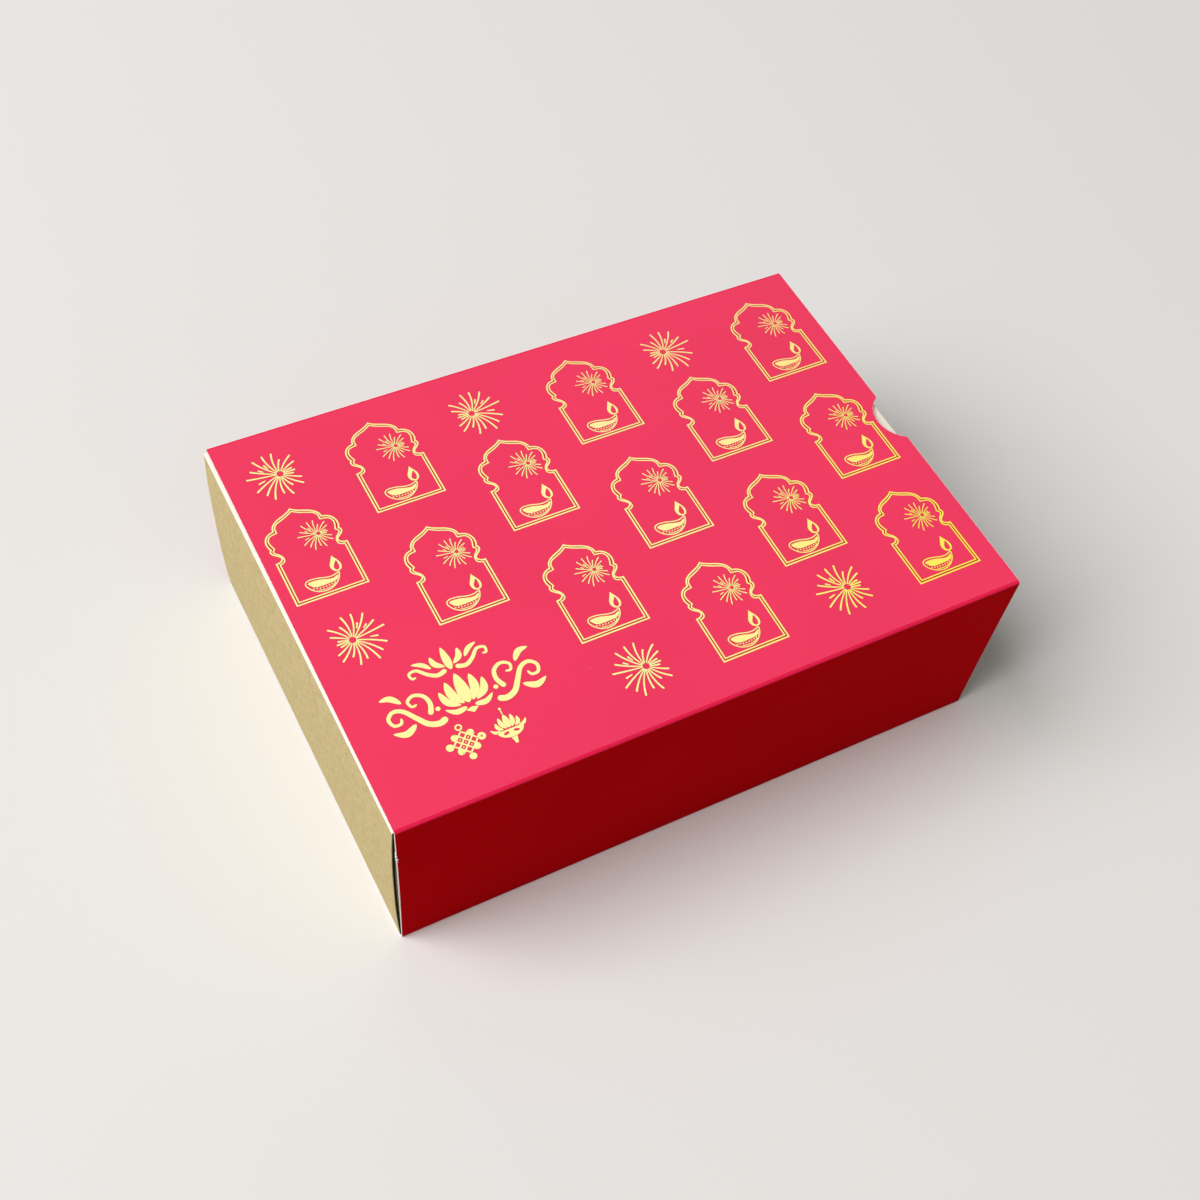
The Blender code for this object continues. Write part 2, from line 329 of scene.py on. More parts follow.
@dataclass(frozen=True)
class LaminatedPrint(Finish):
    """Offset print under matt film: even red with the film's gloss, and in the top's ink a
    painted sheen, a pink haze.

    The film is scuffed white in a fringe along the die-cut edges.
    """

    name: str = "laminated_print"
    ink: str = "#F4365F"          # crimson with a painted pink sheen, the haze as it shows on the top
    lie: Lie = Lie.LEVEL
    dust: str = "#F6DDE2"         # the few pale specks under and on the film
    torn: str = "#FFF6F0"         # bare fibre where the film is cut
    half_length: float = 0.127
    notch_centre: Place = (0.1335, 0.17318, 0.0)
    notch_radius: float = 0.0131
    tuft_length: float = 0.0012   # tufts of bare fibre
    tuft_least: float = 0.00005   # the narrowest fringe that they make
    tuft_most: float = 0.00014    # and the widest
    drift: float = 1 / 12         # over about 80 mm the ink's weight drifts by a few per cent
    speck_apart: float = 0.025    # about one speck in each square of this side
    speck_share: float = 0.007    # a speck's radius, 0.2 mm, as a share of that
    peel: float = 0.0007          # the film's fine orange peel
    peel_depth: float = 0.00004

    def fringe(self, tree: Tree, blank: Socket) -> Socket:
        """Mark the fringe of bare fibre along the cut edges.

        Args:
            tree: The material's node tree.
            blank: The blank's flat map.

        Returns:
            A socket that is one on bare fibre and nought on film.
        """
        split = add_node(tree, "ShaderNodeSeparateXYZ", {0: blank})
        out = compute(tree, "ABSOLUTE", split.outputs["X"])
        side = compute(tree, "SUBTRACT", self.half_length, out)
        reach = measure(tree, "DISTANCE", blank, self.notch_centre)
        notch = compute(tree, "SUBTRACT", reach, self.notch_radius)
        edge = compute(tree, "MINIMUM", side, notch)
        tufts = noise(tree, blank, self.tuft_length)
        width = remap(tree, tufts, 0.42, 0.75, self.tuft_least, self.tuft_most)
        return compute(tree, "LESS_THAN", edge, width)

    def dress(self, tree: Tree) -> bpy.types.Node:
        """Add the nodes and return the shader."""
        blank = flat_place(tree)
        level = remap(tree, noise(tree, blank, self.drift, 1.0), 0.3, 0.7, 0.965, 1.03)
        even = tone(tree, self.ink, level)
        cells = add_node(tree, "ShaderNodeTexVoronoi", {
            "Vector": blank, "Scale": 1 / self.speck_apart})
        speck = compute(tree, "LESS_THAN", cells.outputs["Distance"], self.speck_share)
        printed = blend(tree, speck, even, self.dust)
        edged = blend(tree, self.fringe(tree, blank), printed, self.torn)
        peel = noise(tree, blank, self.peel)
        return surface(tree, edged, 0.42, relief(tree, peel, 0.25, self.peel_depth),
                       self.lie.value)


@dataclass(frozen=True)
class UncoatedBoard(Finish):
    """The sleeve's inside: uncoated white board, a little grey and fibrous."""

    name: str = "uncoated_board"
    board: str = "#EFE9DD"
    fibre: str = "#E2D9C8"

    def dress(self, tree: Tree) -> bpy.types.Node:
        """Add the nodes and return the shader."""
        # fibres lie mostly round the sleeve, 1 mm wide and some 4 mm long
        grain = noise(tree, stretch(tree, flat_place(tree), (1000.0, 250.0, 1.0)), 1.0, 3.0)
        return surface(tree, blend(tree, grain, self.board, self.fibre), 0.85,
                       relief(tree, grain, 0.3, 0.00005), 0.3)


@dataclass(frozen=True)
class BoardCutEdge(Finish):
    """The die-cut edge of the sleeve's board: bare white fibre, slightly furry."""

    name: str = "board_cut_edge"
    fibre: str = "#FBF6EE"
    shade: str = "#E9DFD2"
    tuft: float = 0.0004

    def dress(self, tree: Tree) -> bpy.types.Node:
        """Add the nodes and return the shader."""
        tufts = noise(tree, solid_place(tree), self.tuft)
        return surface(tree, blend(tree, tufts, self.fibre, self.shade), 0.9,
                       relief(tree, tufts, 0.5, 0.0001), 0.2)


@dataclass(frozen=True)
class KraftLiner(Finish):
    """Unbleached kraft liner: tan, fibrous, with the flutes just telling through."""

    name: str = "kraft_liner"
    pulp: str = "#CDBA88"
    dark_pulp: str = "#C2AD79"
    fleck: str = "#8C7244"
    worn_and_lit: str = "#FFF6EC"        # cream: partly fibre raised along the folds, partly painted highlight on the folds and on the rims' lit tops
    clump: float = 0.006         # the sheet's cloudy formation
    flute_pitch: float = 0.0033

    def dress(self, tree: Tree) -> bpy.types.Node:
        """Add the nodes and return the shader."""
        blank = flat_place(tree)
        cloud = remap(tree, noise(tree, blank, self.clump, 4.0, 0.6), 0.3, 0.72)
        sheet = blend(tree, cloud, self.pulp, self.dark_pulp)
        # bundles of fibre 1 mm wide and 3 mm long, drawn somewhat coarser than they are
        fibre = noise(tree, stretch(tree, blank, (1000.0, 330.0, 1.0)), 1.0, 4.0, 0.65)
        grained = tone(tree, sheet, remap(tree, fibre, 0.3, 0.7, 1.2, 0.8))
        # single dark shives, the thickest of the bundles
        flecked = blend(tree, remap(tree, fibre, 0.6, 0.74, 0.0, 0.55), grained, self.fleck)
        # cream on the folds and the rims: partly worn fibre, partly painted highlight
        wear_and_light = add_node(tree, "ShaderNodeAttribute", attribute_name=WEAR_AND_LIGHT).outputs["Fac"]
        colour = blend(tree, wear_and_light, flecked, self.worn_and_lit)
        # the flutes show as shallow lines, one for each pitch
        flutes = add_node(tree, "ShaderNodeTexWave", {
            "Vector": blank, "Scale": math.pi / (10 * self.flute_pitch),
            "Distortion": 0.0, "Detail": 0.0}, bands_direction="Y").outputs["Fac"]
        board = relief(tree, flutes, 0.2, 0.00003)
        return surface(tree, colour, 0.8, relief(tree, fibre, 0.3, 0.00005, board), 0.3)


@dataclass(frozen=True)
class FlutingMedium(Finish):
    """The wavy inner paper of the board: coarse and unsized, and by default painted near black,
    as painted shade for the shadow between the liners.
    """

    name: str = "fluting_medium_painted_shade"
    # painted shade: the brown paper drawn near black, as it looks in the shadow between the
    # liners
    paper: str = "#3B2A19"
    shade: str = "#24190E"
    blot: float = 0.002

    def dress(self, tree: Tree) -> bpy.types.Node:
        """Add the nodes and return the shader."""
        blots = noise(tree, solid_place(tree), self.blot, 3.0)
        return surface(tree, blend(tree, blots, self.paper, self.shade), 0.9, specular=0.2)


@dataclass(frozen=True)
class PressedPrint(Finish):
    """Print pressed down beside the foil: the same ink in shade."""

    name: str = "pressed_print_shade"
    ink: str = "#C81E2C"
    bite: float = 0.005          # over what distance the press bites unevenly

    def dress(self, tree: Tree) -> bpy.types.Node:
        """Add the nodes and return the shader."""
        bite = noise(tree, solid_place(tree), self.bite, 1.0)
        level = remap(tree, bite, 0.3, 0.7, 0.85, 1.15)
        return surface(tree, tone(tree, self.ink, level), 0.5, specular=0.2)


@dataclass(frozen=True)
class GoldFoil(Finish):
    """Hot-stamped foil: thin metal, pale gold, broken up a little by the board, with a painted
    reflection that makes it warmer and deeper towards the right.
    """

    name: str = "gold_foil"
    gold: str = "#FFFAA8"
    # painted reflection: warmer and deeper golds mixed in towards the right of the top
    painted_reflection_warm_gold: str = "#FFE09A"
    painted_reflection_deep_gold: str = "#FFF05A"
    drift: float = 1 / 16        # over about 60 mm the edge of the painted reflection drifts
    grain: float = 0.0005        # the board telling through

    def dress(self, tree: Tree) -> bpy.types.Node:
        """Add the nodes and return the shader."""
        place = solid_place(tree)
        # painted reflection: the gold is drawn warmer towards the far right corner of the top
        run = measure(tree, "DOT_PRODUCT", place, (0.62, 0.78, 0.0))
        drift = noise(tree, place, self.drift, 1.0)
        reflection_warmth = remap(tree, compute(tree, "MULTIPLY_ADD", drift, 0.12, run), 0.05, 0.19)
        colour = blend(tree, reflection_warmth, self.gold, self.painted_reflection_warm_gold)
        # and a painted reflection, deeper gold, towards the near right corner
        aside = measure(tree, "DOT_PRODUCT", place, (0.8, -0.6, 0.0))
        gold_and_painted_reflection = blend(tree, remap(tree, aside, 0.03, 0.13), colour, self.painted_reflection_deep_gold)
        grain = noise(tree, place, self.grain)
        return surface(tree, gold_and_painted_reflection, 0.3, relief(tree, grain, 0.35, 0.00006), ior=None,
                       metallic=1.0)


@dataclass(frozen=True)
class DriedGlue(Finish):
    """A bead of carton glue, dried to a yellowish film."""

    name: str = "dried_glue"
    film: str = "#EDE4C8"
    bead: float = 0.003          # how far apart the beads are that ran together

    def dress(self, tree: Tree) -> bpy.types.Node:
        """Add the nodes and return the shader."""
        beads = noise(tree, solid_place(tree), self.bead, 1.0)
        return surface(tree, tone(tree, self.film, beads), 0.35,
                       relief(tree, beads, 0.4, 0.0001), ior=1.47)


@dataclass(frozen=True)
class StudioPaper(Finish):
    """The pale floor: bright to the lens and in gloss, darker as a bounce.

    Far from the box it takes the surround's own level, so that no horizon shows.
    """

    name: str = "studio_paper"
    seen: str = "#ECEAE7"
    bounce: str = "#A8A6A3"
    near: float = 0.5            # radius in metres where the floor begins to fade
    far: float = 1.8             # and where it has become the surround

    def dress(self, tree: Tree) -> bpy.types.Node:
        """Add the nodes and return the shader."""
        shown = seen_by(tree, "Is Camera Ray", "Is Glossy Ray")
        paper = surface(tree, blend(tree, shown, self.bounce, self.seen), 0.9, specular=0.1,
                        ior=None)
        reach = measure(tree, "LENGTH", solid_place(tree))
        fade = remap(tree, reach, self.near, self.far, curve="SMOOTHSTEP")
        pale = add_node(tree, "ShaderNodeEmission", {"Color": SURROUND})
        return add_node(tree, "ShaderNodeMixShader", {
            0: compute(tree, "MULTIPLY", fade, shown), 1: paper.outputs[0],
            2: pale.outputs[0]})


def between(begin: float, end: float, parts: int) -> list[float]:
    """Divide a stretch evenly and return the places between its ends."""
    return [begin + (end - begin) * k / parts for k in range(1, parts)]


@dataclass(frozen=True)
class FoldPath:
    """The section of a folded sheet: straight legs joined by left-hand right angles."""

    start: Point
    heading: float
    legs: tuple[float, ...]
    radii: tuple[float, ...]

    def place(self, distance: float, depth: float) -> Vector:
        """Find a point of the folded sheet.

        Args:
            distance: How far along the sheet's outer face the point is.
            depth: How far under that face it is.

        Returns:
            The point in the plane of the section.
        """
        origin = Vector(self.start)
        along = Vector((math.cos(self.heading), math.sin(self.heading)))
        left = Vector((-along.y, along.x))
        for leg, radius in zip(self.legs, (*self.radii, 0.0)):
            if distance <= leg or not radius:
                break
            distance -= leg
            origin = origin + along * leg
            sweep = radius * math.pi / 2
            if distance < sweep:
                turn = distance / radius
                spoke = left * math.cos(turn) - along * math.sin(turn)
                return origin + left * radius - spoke * (radius - depth)
            distance -= sweep
            origin = origin + (left + along) * radius
            along, left = left, -along
        return origin + along * distance + left * depth

    def bends(self) -> list[Point]:
        """Return where each bend begins and ends along the sheet."""
        spans, distance = [], 0.0
        for leg, radius in zip(self.legs, self.radii):
            distance += leg
            spans.append((distance, distance + radius * math.pi / 2))
            distance = spans[-1][1]
        return spans

    def length(self) -> float:
        """Return the whole length of the sheet."""
        return sum(self.legs) + sum(self.radii) * math.pi / 2

    def nearness(self, distance: float, reach: float, inset: float = 0.0) -> float:
        """Say how near a point is to a fold.

        Args:
            distance: The point's place along the sheet.
            reach: Over what distance the value falls to nothing.
            inset: How far inside each end of a bend the fall begins.

        Returns:
            One inside a bend, falling to nought.
        """
        near = 0.0
        for begin, end in self.bends():
            outside = max(begin + inset - distance, distance - end + inset, 0.0)
            near = max(near, 1 - smoothstep(outside, 0.0, reach))
        return near

    def cuts(self, steps: int, margins: tuple[float, ...]) -> list[float]:
        """List where the sheet is cut so that its bends come out round.

        Args:
            steps: The flat facets in each bend.
            margins: Further cuts, at these distances outside each bend.

        Returns:
            Distances along the sheet.
        """
        places = []
        for begin, end in self.bends():
            places += [begin, *between(begin, end, steps), end]
            places += [place for m in margins for place in (begin - m, end + m)]
        return places


def outline(bm: Shape, points: Iterable[Point]) -> tuple[list, list]:
    """Draw a closed flat outline and return its corners and its sides."""
    verts = [bm.verts.new((x, y, 0.0)) for x, y in points]
    return verts, [bm.edges.new(pair) for pair in zip(verts, verts[1:] + verts[:1])]


def cut_lines(bm: Shape, across: Iterable[float], along: Iterable[float]) -> None:
    """Cut a flat blank along straight lines.

    Args:
        bm: The flat blank.
        across: Places of the lines of constant x.
        along: Places of the lines of constant y.
    """
    for normal, places in ((Vector((1.0, 0.0, 0.0)), across), (Vector((0.0, 1.0, 0.0)), along)):
        for place in sorted({round(p, 4) for p in places}):
            bmesh.ops.bisect_plane(bm, geom=bm.verts[:] + bm.edges[:] + bm.faces[:],
                                   dist=1e-5, plane_co=normal * place, plane_no=normal)


def face_up(bm: Shape) -> None:
    """Turn every face of a flat shape to look up."""
    bm.normal_update()
    for face in bm.faces:
        if face.normal.z < 0:
            face.normal_flip()


class Layer(Enum):
    """Which way a face of a thick flat blank looks, as its material's index."""

    OUTSIDE = 0
    INSIDE = 1
    CUT = 2
    OUTSIDE_UPRIGHT = 3
    OUTSIDE_FOLD_HIGHLIGHT = 4
    OUTSIDE_CREASE_SHADE = 5


def deepen(bm: Shape, thickness: float) -> None:
    """Give a flat sheet its thickness, its outer face at z = 0 and the rest below.

    Args:
        bm: The sheet, its faces up.
        thickness: The thickness.
    """
    bmesh.ops.solidify(bm, geom=bm.faces[:], thickness=thickness)
    highest = max(vert.co.z for vert in bm.verts)
    bmesh.ops.translate(bm, vec=(0.0, 0.0, -highest), verts=bm.verts[:])


def thicken(bm: Shape, thickness: float) -> None:
    """Make a flat blank a thick sheet below z = 0.

    Each face gets its layer as material index, and the flat place as its map.

    Args:
        bm: The flat blank, its faces up.
        thickness: The sheet's thickness.
    """
    deepen(bm, thickness)
    skin = thickness / 20        # a face nearer than this to z = 0 is the outer one
    bm.normal_update()
    flat_map = bm.loops.layers.uv.new(BLANK_MAP)
    for face in bm.faces:
        height = face.calc_center_median().z
        layer = Layer.OUTSIDE if height > -skin else Layer.CUT
        if height < skin - thickness:
            layer = Layer.INSIDE
        face.material_index = layer.value
        for loop in face.loops:
            loop[flat_map].uv = (loop.vert.co.x * MM, loop.vert.co.y * MM)


@dataclass
class Sleeve:
    """The printed carton sleeve: four panels, a glue flap and a thumb notch."""

    half_length: float = 127.0
    half_width: float = 90.0
    height: float = 84.0
    board: float = 0.6
    crease: float = 1.2              # outer radius of each fold
    back_start: float = 0.3          # height of the back panel's free edge
    flap_outer: float = 89.1         # the glue flap's outer face
    flap_top: float = 15.4
    flap_ease: float = 3.6           # how much the flap's ends draw in
    notch_centre: float = 133.5
    notch_radius: float = 13.1
    notch_shoulder: float = 0.9
    crown: float = 0.22              # how far the top swells in its middle
    ripple: float = 0.07
    pinch: float = 0.3               # how far a wall's printed face draws in at a cut
    crease_shade_share: float = 0.2        # share of a fold that the crease darkens
    fold_highlight_share: float = 0.84         # share of a fold drawn in the crease's ink, a painted shaded line next to the level panel
    nick_height: float = 67.0        # share of a fold drawn in the fold's ink, a painted highlight; past it the wall's ink
    nick_reach: float = 7.0
    tuft_root: float = 0.28          # radius of a torn tuft where it starts
    tuft_tip: float = 0.1

    TUFTS = 13
    NOTCH_PARTS = 20
    SHOULDER_PARTS = 4
    LENGTH_PARTS = 32                # cuts that let the flat panels take their swell
    PANEL_PARTS = (6, 24, 12, 6, 2)  # the same across the back, top, front, bottom and flap
    BEND_PARTS = 6

    def path(self) -> FoldPath:
        """Return the section of the sleeve, from the back wall's edge to the flap's."""
        run = self.half_width - self.crease
        legs = (self.height - self.crease - self.back_start, 2 * run,
                self.height - 2 * self.crease, run + self.flap_outer - self.crease,
                self.flap_top - self.crease)
        return FoldPath((self.half_width, self.back_start), math.pi / 2, legs,
                        (self.crease,) * 4)

    def top_middle(self) -> float:
        """Return the blank's v under the middle of the top."""
        begin, end = self.path().bends()[0]
        return end + self.half_width - self.crease

    def swell(self, x: float, y: float) -> float:
        """Say how far the top stands above its flat level.

        Args:
            x: Place along the box.
            y: Place across it.

        Returns:
            The height, nought along both creases.
        """
        across = math.cos(math.pi * y / (2 * (self.half_width - self.crease)))
        if across <= 0.0:
            return 0.0
        # two weak ripples, 110 to 190 mm from crest to crest, keep the top from being even
        waves = (math.sin(x / 19.0 + 0.7) * math.cos(y / 23.0 - 0.4)
                 + 0.6 * math.sin(x / 31.0 - y / 17.0))
        return self.crown * across ** 0.8 + self.ripple * waves * across

    def fold(self, u: float, v: float, depth: float) -> Vector:
        """Find where a point of the blank lies on the folded sleeve.

        Args:
            u: Place along the box.
            v: Place along the blank, from the back wall's free edge.
            depth: Distance under the printed face.

        Returns:
            The point in the box's frame.
        """
        section = self.path()
        y, z = section.place(v, depth)
        x = u
        if abs(u) > self.half_length - SAME and depth < SAME:
            x -= math.copysign(self.pinch * math.sin(math.pi * z / self.height), u)
        (_, top_from), (top_to, _), _, _ = section.bends()
        if top_from < v < top_to:
            z += self.swell(x, y)
        return Vector((x, y, z))

    def blank(self) -> Shape:
        """Cut the flat blank and return it, faces up."""
        section = self.path()
        middle, end = self.top_middle(), section.length()
        flap_from = section.bends()[-1][1]
        half, tip = self.half_length, self.half_length - self.flap_ease
        opening = math.acos((self.notch_centre - half) / self.notch_radius)
        angles = [-opening, *between(-opening, opening, self.NOTCH_PARTS), opening]
        corners = [(-half, 0.0), (half, 0.0)]
        corners += [(self.notch_centre - self.notch_radius * math.cos(angle),
                     middle + self.notch_radius * math.sin(angle)) for angle in angles]
        corners += [(half, flap_from), (tip, end), (-tip, end), (-half, flap_from)]
        bm = bmesh.new()
        verts, edges = outline(bm, corners)
        bmesh.ops.contextual_create(bm, geom=verts + edges)
        shoulders = [verts[2], verts[2 + self.NOTCH_PARTS]]
        bmesh.ops.bevel(bm, geom=shoulders, offset=self.notch_shoulder,
                        segments=self.SHOULDER_PARTS, profile=0.5, affect="VERTICES",
                        material=-1)
        along = section.cuts(self.BEND_PARTS, (0.25,))
        starts = [0.0] + [stop for _, stop in section.bends()]
        stops = [begin for begin, _ in section.bends()] + [end]
        for begin, stop, parts in zip(starts, stops, self.PANEL_PARTS):
            along += between(begin, stop, parts)
        cut_lines(bm, between(-half, half, self.LENGTH_PARTS), along)
        face_up(bm)
        return bm

    def mark_upright(self, bm: Shape) -> None:
        """Set the printed faces of the walls and folds apart from the level ones, for inks that
        differ only by painted light.

        Args:
            bm: The thick flat blank.
        """
        (_, top_from), (top_to, _), (_, base_from), (base_to, _) = self.path().bends()
        bend = self.crease * math.pi / 2
        for face in bm.faces:
            if face.material_index != Layer.OUTSIDE.value:
                continue
            v = face.calc_center_median().y
            outside = min(max(top_from - v, v - top_to), max(base_from - v, v - base_to))
            if outside > bend * self.fold_highlight_share:
                face.material_index = Layer.OUTSIDE_UPRIGHT.value
            elif outside > bend * self.crease_shade_share:
                face.material_index = Layer.OUTSIDE_FOLD_HIGHLIGHT.value
            elif outside > 0:
                face.material_index = Layer.OUTSIDE_CREASE_SHADE.value

    def build(self) -> Piece:
        """Fold the sleeve, dress it and put it in the place of its panels."""
        bm = self.blank()
        thicken(bm, self.board)
        self.mark_upright(bm)
        for vert in bm.verts:
            vert.co = self.fold(vert.co.x, vert.co.y, -vert.co.z)
        bmesh.ops.recalc_face_normals(bm, faces=bm.faces[:])
        # one red print in four inks that differ only by painted light: the top's with a painted
        # pink sheen, the folds' with a painted highlight, the creases' with a painted shaded
        # line, the walls' plain
        piece = to_object(bm, "sleeve_folded_carton", [
            finish.material() for finish in (
                LaminatedPrint(), UncoatedBoard(), BoardCutEdge(),
                LaminatedPrint("laminated_print_upright", "#E2000C", Lie.UPRIGHT),
                LaminatedPrint("laminated_print_fold_highlight", "#FF2354", Lie.FOLD),
                LaminatedPrint("laminated_print_crease_shade", "#E41A44", Lie.FOLD))])
        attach(piece, "sleeve")
        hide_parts("sleeve_top_panel", "sleeve_front_panel", "sleeve_bottom_panel",
                    "sleeve_back_panel", "sleeve_glue_flap")
        return piece

    def fray(self) -> Piece:
        """Make the torn tufts of white fibre at the nick in the front wall's left edge."""
        bm = bmesh.new()
        for k in range(self.TUFTS):
            share = k / (self.TUFTS - 1)
            length = 0.5 + 0.6 * math.sin(2.4 * k + 0.6) ** 2
            # the upper tufts stand out, the lower ones lie over the print
            lean = Vector((0.8 - share, -0.35, 0.8 * math.sin(2.9 * k))).normalized()
            root = Vector((-self.half_length - 0.1 + 0.1 * math.sin(1.7 * k),
                           -self.half_width - 0.05,
                           self.nick_height + self.nick_reach * (share - 0.5)))
            turn = lean.to_track_quat("Z", "Y").to_matrix().to_4x4()
            bmesh.ops.create_cone(
                bm, cap_ends=True, segments=6, radius1=self.tuft_root, radius2=self.tuft_tip,
                depth=length, matrix=Matrix.Translation(root + lean * length / 2) @ turn)
        piece = to_object(bm, "sleeve_frayed_nick", [
            BoardCutEdge("torn_board", "#FFFFFF", "#FFF9F2").material()])
        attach(piece, "sleeve")
        return piece

    def dress_glue(self) -> Piece:
        """Give the glue line its finish and return it."""
        line = frame["nodes"]["sleeve_glue_line"]
        line.data.materials.clear()
        line.data.materials.append(DriedGlue().material())
        return line


@dataclass
class Tray:
    """The kraft tray: one blank of fluted board with rolled-over ends."""

    centre_x: float = -1.95
    centre_y: float = -0.2
    half_length: float = 126.25
    half_width: float = 88.5
    under: float = 0.9               # height of the floor's underside
    top: float = 83.15
    board: float = 1.5
    liner: float = 0.28
    medium: float = 0.2
    fold_radius: float = 1.3
    rim_radius: float = 0.95         # outer radius of the two folds of a rolled-over end
    spine: float = 5.1               # depth of the rolled-over end
    wall_end: float = 123.15         # where the long walls turn into flaps
    flap_plane: float = 124.45       # outer face of the flaps
    flap_free: float = 26.7          # how near the middle the flaps reach
    flap_low: float = 2.7
    flap_high: float = 79.6
    flap_chamfer: float = 10.0
    end_half: float = 88.8           # half-width of the outer end panel
    inner_half: float = 85.9         # half-width of the spine and inner panel
    rim_run: float = 0.7             # how far the rim keeps its full width past its fold
    inner_low: float = 2.7
    tongue_low: float = 1.2
    tongue_at: float = 45.0
    tongue_half: float = 12.0
    slot_at: float = 121.9
    slot_half_depth: float = 1.05
    slot_half_width: float = 12.3
    flute_pitch: float = 3.3
    crush: float = 0.45              # share of the thickness lost along a score
    crush_reach: float = 1.2         # how far beside a fold the board is pressed thin
    wear_reach: float = 0.3          # over what distance the raised fibre of a fold ends
    wear_inset: float = 0.35
    wear_and_light_most: float = 0.9
    rim_wear_and_light: float = 0.85           # painted highlight: the narrow top of a rolled-over end drawn cream, as it looks lit from above
    left_bulge: float = 1.0          # how far an end panel swells between its folds
    right_bulge: float = 0.35
    bulge_power: float = 2.6
    right_bow: float = 1.1           # how far the right end's rim bows out in its middle
    left_out: float = -0.2           # how far the left end stands out of its place
    left_skew: float = 0.4           # and how much more at its back corner than at its middle
    left_tuck: float = 0.15          # how far its foot is drawn in

    BEND_PARTS = 5
    END_PARTS = 10                   # cuts that let an end panel bulge
    WAVE_PARTS = 8                   # facets in a flute

    def end_path(self) -> FoldPath:
        """Return the section through the floor and one end, from the middle out."""
        r, rim = self.fold_radius, self.rim_radius
        return FoldPath((0.0, self.under), 0.0, (
            self.half_length - r, self.top - self.under - r - rim, self.spine - 2 * rim,
            self.top - rim - self.tongue_low), (r, rim, rim))

    def wall_path(self) -> FoldPath:
        """Return the section through the floor and one long wall."""
        r = self.fold_radius
        return FoldPath((0.0, self.under), 0.0, (
            self.half_width - r, self.top - self.under - r), (r,))

    def flap_path(self) -> FoldPath:
        """Return the plan of a long wall and its flap, from the wall's outer face in."""
        r = self.fold_radius
        return FoldPath((0.0, 0.0), 0.0, (
            self.flap_plane - r, self.half_width - self.flap_free - r), (r,))

    def stray(self, way: float, y: float, z: float) -> float:
        """Say how far an end stands out of its place, as hand folding leaves it.

        Args:
            way: Minus one for the left end, plus one for the right end.
            y: Place across the tray.
            z: Height in the tray.

        Returns:
            The distance outwards.
        """
        if way > 0:
            return self.right_bow * math.cos(math.pi * y / (2 * self.end_half)) * z / self.top
        return (self.left_out + self.left_skew * y / self.end_half
                - self.left_tuck * (1 - z / self.top))

    def fold(self, u: float, v: float, depth: float) -> tuple[Vector, float]:
        """Find where a point of the blank lies on the folded tray.

        Args:
            u: Place along the box from the blank's middle.
            v: Place across it.
            depth: Distance under the blank's outer face.

        Returns:
            The point in the box's frame, and the share of cream there: worn fibre of the fold and
            painted highlight.
        """
        way, side = math.copysign(1.0, u), math.copysign(1.0, v)
        u, v = abs(u), abs(v)
        if u > self.wall_end + SAME and v < self.end_half + SAME:
            path = self.end_path()
            near = path.nearness(u, self.crush_reach)
            x, z = path.place(u, depth * (1 - self.crush * near))
            y = v
            (_, low), (high, _), (_, inside) = path.bends()
            if low < u < high:
                bulge = self.left_bulge if way < 0 else self.right_bulge
                t = (u - low) / (high - low)
                x += bulge * (1 - abs(2 * t - 1) ** self.bulge_power)
            # the tongues stay in their slots
            held = z / self.top if u > inside else smoothstep(u, self.wall_end, low)
            x += held * self.stray(way, side * v, z)
            wear_and_light = path.nearness(u, self.wear_reach, self.wear_inset)
            # painted highlight: the narrow top of a rolled-over end is drawn cream all along
            if high + self.wear_inset < u < inside - self.wear_inset:
                wear_and_light = max(wear_and_light, self.rim_wear_and_light)
        else:
            path = self.wall_path()
            near = path.nearness(v, self.crush_reach)
            wear_and_light = path.nearness(v, self.wear_reach, self.wear_inset)
            x = u
            if v > self.flap_v(self.flap_low) - SAME and u > self.wall_end + SAME:
                plan = self.flap_path()
                near = max(near, plan.nearness(u, self.crush_reach))
                wear_and_light = max(wear_and_light, plan.nearness(u, self.wear_reach, self.wear_inset))
                _, z = path.place(v, 0.0)
                x, inward = plan.place(u, depth * (1 - self.crush * near))
                y = self.half_width - inward
                x += (smoothstep(u, self.wall_end, plan.bends()[0][1])
                      * self.stray(way, side * y, z))
            else:
                y, z = path.place(v, depth * (1 - self.crush * near))
        place = Vector((self.centre_x + way * x, self.centre_y + side * y, z))
        return place, wear_and_light * self.wear_and_light_most

    def flap_v(self, z: float) -> float:
        """Return the blank's v of a height on the long walls."""
        return self.wall_path().bends()[0][1] + z - self.under - self.fold_radius

    def rim_u(self) -> float:
        """Return the blank's u where the rim of an end narrows to pass the walls."""
        return self.end_path().bends()[1][1] + self.rim_run

    def kept(self, u: float, v: float) -> bool:
        """Say whether a spot of the rectangle belongs to the cut blank.

        Args:
            u: Place along the box from the blank's middle.
            v: Place across it.

        Returns:
            True where there is board.
        """
        u, v = abs(u), abs(v)
        end = self.end_path().length()
        drop = self.inner_low - self.tongue_low
        if u < self.wall_end:
            slot = (abs(u - self.slot_at) < self.slot_half_depth
                    and abs(v - self.tongue_at) < self.slot_half_width)
            return not slot
        if v < self.end_half:
            if u > end - drop:
                return abs(v - self.tongue_at) < self.tongue_half
            return u < self.rim_u() or v < self.inner_half
        low, high = self.flap_v(self.flap_low), self.flap_v(self.flap_high)
        if not low < v < high or u > self.flap_path().length():
            return False
        beyond = u - (self.flap_path().length() - self.flap_chamfer)
        into = max(v - (high - self.flap_chamfer), low + self.flap_chamfer - v)
        return beyond < 0 or into < 0 or beyond + into < self.flap_chamfer

